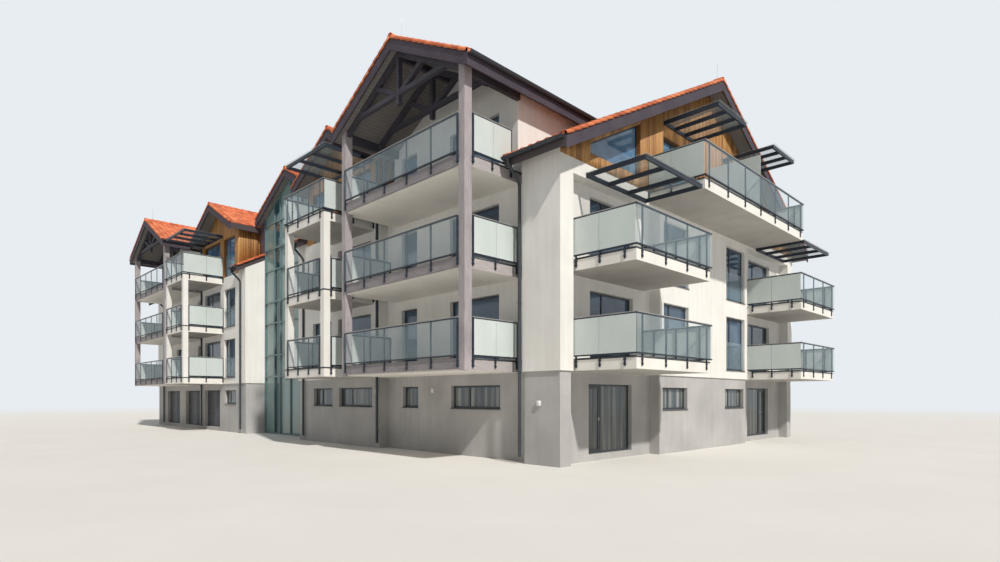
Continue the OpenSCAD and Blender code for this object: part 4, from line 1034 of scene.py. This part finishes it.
def slab_edges():
    parts = []
    for f in (1, 2, 3):
        z = f * STOREY
        x0, x1 = PORTICO_X
        parts += both([flashing([(x1, PORTICO_Y + POST[1]), (x1, BAY_Y)], z),
                       flashing([(x0, BAY_Y), (x0, PORTICO_Y + POST[1])], z)])
        x0, x1 = STACK_X
        parts += both([flashing([(x0, 0), (x0, STACK_Y), (x1, STACK_Y), (x1, 0)], z)])
    for f in (1, 2):
        parts += both([end_flashing(END_Y, END_OUT, f * STOREY)], turned_back)
    return parts + [end_flashing(TOP_Y, TOP_OUT, ATTIC)]


def along_rails(make):
    """What make gives for every run of railing, on both halves of the front and of the end."""
    end = [run for f in (1, 2) for run in end_runs(END_Y, END_OUT, END_RECESS, f * STOREY, 3, END_CORNER)]
    top = end_runs(TOP_Y, TOP_OUT, 0, ATTIC, 6, ONE_CORNER)
    front, end, top = ([p for run in runs for p in make(run)] for runs in (half_front_runs(), end, top))
    return both(front) + both(end, turned_back) + top


build("handrails", along_rails(handrail), CAP, smooth=ROUND_METAL)
build("rail_brackets", along_rails(fittings), STEEL, smooth=ROUND)
build("slab_flashings", slab_edges(), SHEET)


# Openings: sills, garage panels, terrace door handles
Hole = namedtuple("Hole", "side low high sill face")
LOW_SILL = 1.30
FRONT_LOW_SILL = 1.36
SILL_OVER = 0.015
SILL_PROFILE = np.array([[-0.13, 0.012], [0.035, -0.006], [0.035, -0.030], [0.029, -0.030],
                         [0.029, -0.012], [-0.13, 0.006]])


def at_hole(part, h):
    """Puts a part drawn with x along the wall, y inwards and z up at an opening's outer corner."""
    x, y, turn = {"front": (h.low, h.face, 0), "rear": (h.high, h.face, 180),
                  "right": (h.face, h.low, 90), "left": (-h.face, h.high, -90)}[h.side]
    return placed(part, (x, y, h.sill), turn)


def holes_of_front():
    holes = []
    for s in FRONT_SPANS:
        face = BAY_Y if BAY[0] < s[0] < BAY[1] else 0.0
        for t in (s, (-s[1], -s[0])):
            holes += [Hole("front", *t, f * STOREY, face) for f in (1, 2)]
            holes += [Hole("rear", *t, f * STOREY, DEPTH) for f in (1, 2)]
            holes.append(Hole("rear", *t, LOW_SILL, DEPTH - STEP))
            if t[0] > 0 or s is FRONT_SPANS[0]:
                holes.append(Hole("front", *t, FRONT_LOW_SILL, (face if t[0] > 0 else 0) + STEP))
    return holes


def holes_of_ends():
    holes = []
    for side, span, face in (("right", FRENCH_DOOR, HALF), ("left", FRENCH_DOOR, HALF),
                             ("left", WIDE_DOOR, HALF - END_RECESS)):
        for s in (span, back_of(span)):
            holes += [Hole(side, *s, f * STOREY, face) for f in (1, 2)]
            holes.append(Hole(side, *s, LOW_SILL, face - STEP))
    return holes


def sill(h):
    """A sloped metal sill: its side outline carried along the opening's width."""
    width = h.high - h.low
    return at_hole(sweep([(-SILL_OVER, 0, 0), (width + SILL_OVER, 0, 0)], SILL_PROFILE), h)


build("window_sills", [sill(h) for h in holes_of_front() + holes_of_ends()], SHEET)

GARAGE_BACK = STEP + 0.18
GARAGE_T = 0.06
SECTIONS = 4
SECTION_ENDS = (0.04, 0.98)
PANEL_OUT = 0.010
RIB_OUT = 0.008
PANEL_FACE = 0.018


def garage_panel(x0, x1):
    """A sectional door: its side outline lies PANEL_FACE deep at the joints and RIB_OUT*(1 - |sin|)
    deep between them, three shallow ribs a section, and is carried across the opening."""
    z = np.linspace(0, HEAD, SECTIONS * 12 + 1)
    part = np.mod(z / (HEAD / SECTIONS), 1.0)
    joint = (part < SECTION_ENDS[0]) | (part > SECTION_ENDS[1])
    out = np.where(joint, 0.0, PANEL_OUT + RIB_OUT * np.abs(np.sin(part * 3 * math.pi)))
    front = np.stack([PANEL_FACE - out, z], -1)
    back = np.stack([np.full_like(z, GARAGE_T), z[::-1]], -1)
    profile = np.vstack([front, back]) * [-1, 1]
    return sweep([(x0, GARAGE_BACK, 0), (x1, GARAGE_BACK, 0)], profile)


build("garage_panels", [garage_panel(-b, -a) for a, b in GARAGE_SPANS], GARAGE,
      hides=["garage_doors"])


def lever(corner):
    """A door handle: a round rose and a bent bar, as a tube along a smooth path."""
    path = [(0, 0, 0), (0.035, 0, 0), (0.052, 0.010, 0), (0.055, 0.03, 0), (0.055, 0.13, 0)]
    bar = sweep(path, circle(0.009, 8))
    rose = pillow((0.004, 0, 0), (0.016, 0.035, 0.13), 0.4, 5, 8)
    return [placed(p, corner) for p in (bar, rose)]


HANDLE_Y = WIDE_DOOR[0] + 0.69
HANDLE_Z = 1.05
handle = [moved(p, np.diag([1, -1, 1]), (0, 2 * HANDLE_Y, 0))
          for p in lever((LEAF_FACE, HANDLE_Y, HANDLE_Z))]
build("near_door_handle", handle, ZINC, body="near_door", smooth=ROUND)
build("far_door_handle", [turned_back(p) for p in handle], ZINC, body="far_door",
      smooth=ROUND)


# Small white lamps on the grey ground storey
LAMP_SIZE = (0.12, 0.08, 0.16)
LAMP_SEAT = 0.03
LAMPS = [(12.20, BAY_Y + STEP, 1.95), (17.45, STEP, 1.55), (9.30, STEP, 1.95)]
build("wall_lamps", [pillow((x, y - LAMP_SEAT, z), LAMP_SIZE, 0.25, 6, 12) for x, y, z in LAMPS],
      LAMP, smooth=ROUND)


# Stage: a pale floor that fades into the backdrop's colour, soft sun and sky, and the camera
def shaders_mixed(tree, fac, first, second, output):
    mix = tree.nodes.new("ShaderNodeMixShader")
    for socket, source in zip(mix.inputs, (fac, first, second)):
        tree.links.new(source, socket)
    tree.links.new(mix.outputs[0], tree.nodes[output].inputs["Surface"])


BACKDROP = (0.80, 0.845, 0.885)
SKY_LIGHT = 0.32
FLOOR_R = 900
FLOOR_DROP = 0.002
FADE = (35.0, 110.0)
CAMERA_AT = (28.484, -12.552, 1.728)


def floor_look():
    look, tree, shader = new_look("studio floor", 0.9)
    clouds = noise(tree, 0.35, 3.0)
    colour(tree, shader, between(tree, clouds, (0.735, 0.710, 0.670), (0.765, 0.740, 0.700)))
    away = tree.nodes.new("ShaderNodeVectorMath")
    away.operation = "LENGTH"
    tree.links.new(place_on(tree), away.inputs[0])
    fade = tree.nodes.new("ShaderNodeMapRange")
    fade.interpolation_type = "SMOOTHSTEP"
    fade.inputs["From Min"].default_value, fade.inputs["From Max"].default_value = FADE
    tree.links.new(away.outputs["Value"], fade.inputs["Value"])
    far = tree.nodes.new("ShaderNodeEmission")
    far.inputs["Color"].default_value = (*BACKDROP, 1)
    shaders_mixed(tree, fade.outputs["Result"], shader.outputs[0], far.outputs[0], "Material Output")
    return look


def studio_floor():
    """A flat disc as rings of points; its radius grows with the square of the ring's number."""
    r = (np.linspace(0, 1, 25) ** 2 * FLOOR_R)[:, None]
    a = np.linspace(0, 2 * math.pi, 96, endpoint=False)[None, :]
    points = np.stack([r * np.cos(a), r * np.sin(a), np.full_like(r * a, -FLOOR_DROP)], -1)
    part = sheet(points, wrap=True)
    mesh = bpy.data.meshes.new("studio_floor")
    mesh.from_pydata(part.points.tolist(), [], part.quads.tolist())
    mesh.materials.append(floor_look())
    added("studio_floor", mesh)


def studio_world():
    """The sky lights the block evenly; the camera, gloss and glass see the backdrop's colour."""
    world = bpy.data.worlds.new("studio")
    bpy.context.scene.world = world
    world.use_nodes = True
    tree = world.node_tree
    light = tree.nodes["Background"]
    light.inputs["Color"].default_value = (0.93, 0.97, 1.0, 1)
    light.inputs["Strength"].default_value = SKY_LIGHT
    seen = tree.nodes.new("ShaderNodeBackground")
    seen.inputs["Color"].default_value = (*BACKDROP, 1)
    path = tree.nodes.new("ShaderNodeLightPath")
    rays = maths(tree, "MAXIMUM", path.outputs["Is Camera Ray"],
                 maths(tree, "MAXIMUM", path.outputs["Is Glossy Ray"], path.outputs["Is Transmission Ray"]))
    shaders_mixed(tree, rays, light.outputs[0], seen.outputs[0], "World Output")


def soft_sun():
    """One soft sun from the balcony end, high enough to reach under the eaves."""
    lamp = bpy.data.lights.new("soft sun", "SUN")
    lamp.energy = 3.42
    lamp.angle = math.radians(2.2)
    lamp.color = (1.0, 0.965, 0.91)
    added("soft sun", lamp).rotation_euler = (math.radians(47.5), 0, math.radians(74))


def photo_camera():
    """Level camera at eye height, 45 degrees to both walls, with its lens shifted upwards."""
    data = bpy.data.cameras.new("camera")
    data.lens = 21.33
    data.sensor_width = 36.0
    data.shift_y = 0.116
    data.clip_end = 3000
    obj = added("camera", data)
    obj.location = ORIGIN + CAMERA_AT
    obj.rotation_euler = (math.radians(90), 0, math.radians(45))
    bpy.context.scene.camera = obj


studio_floor()
studio_world()
soft_sun()
photo_camera()
bpy.context.scene.view_settings.view_transform = "Standard"
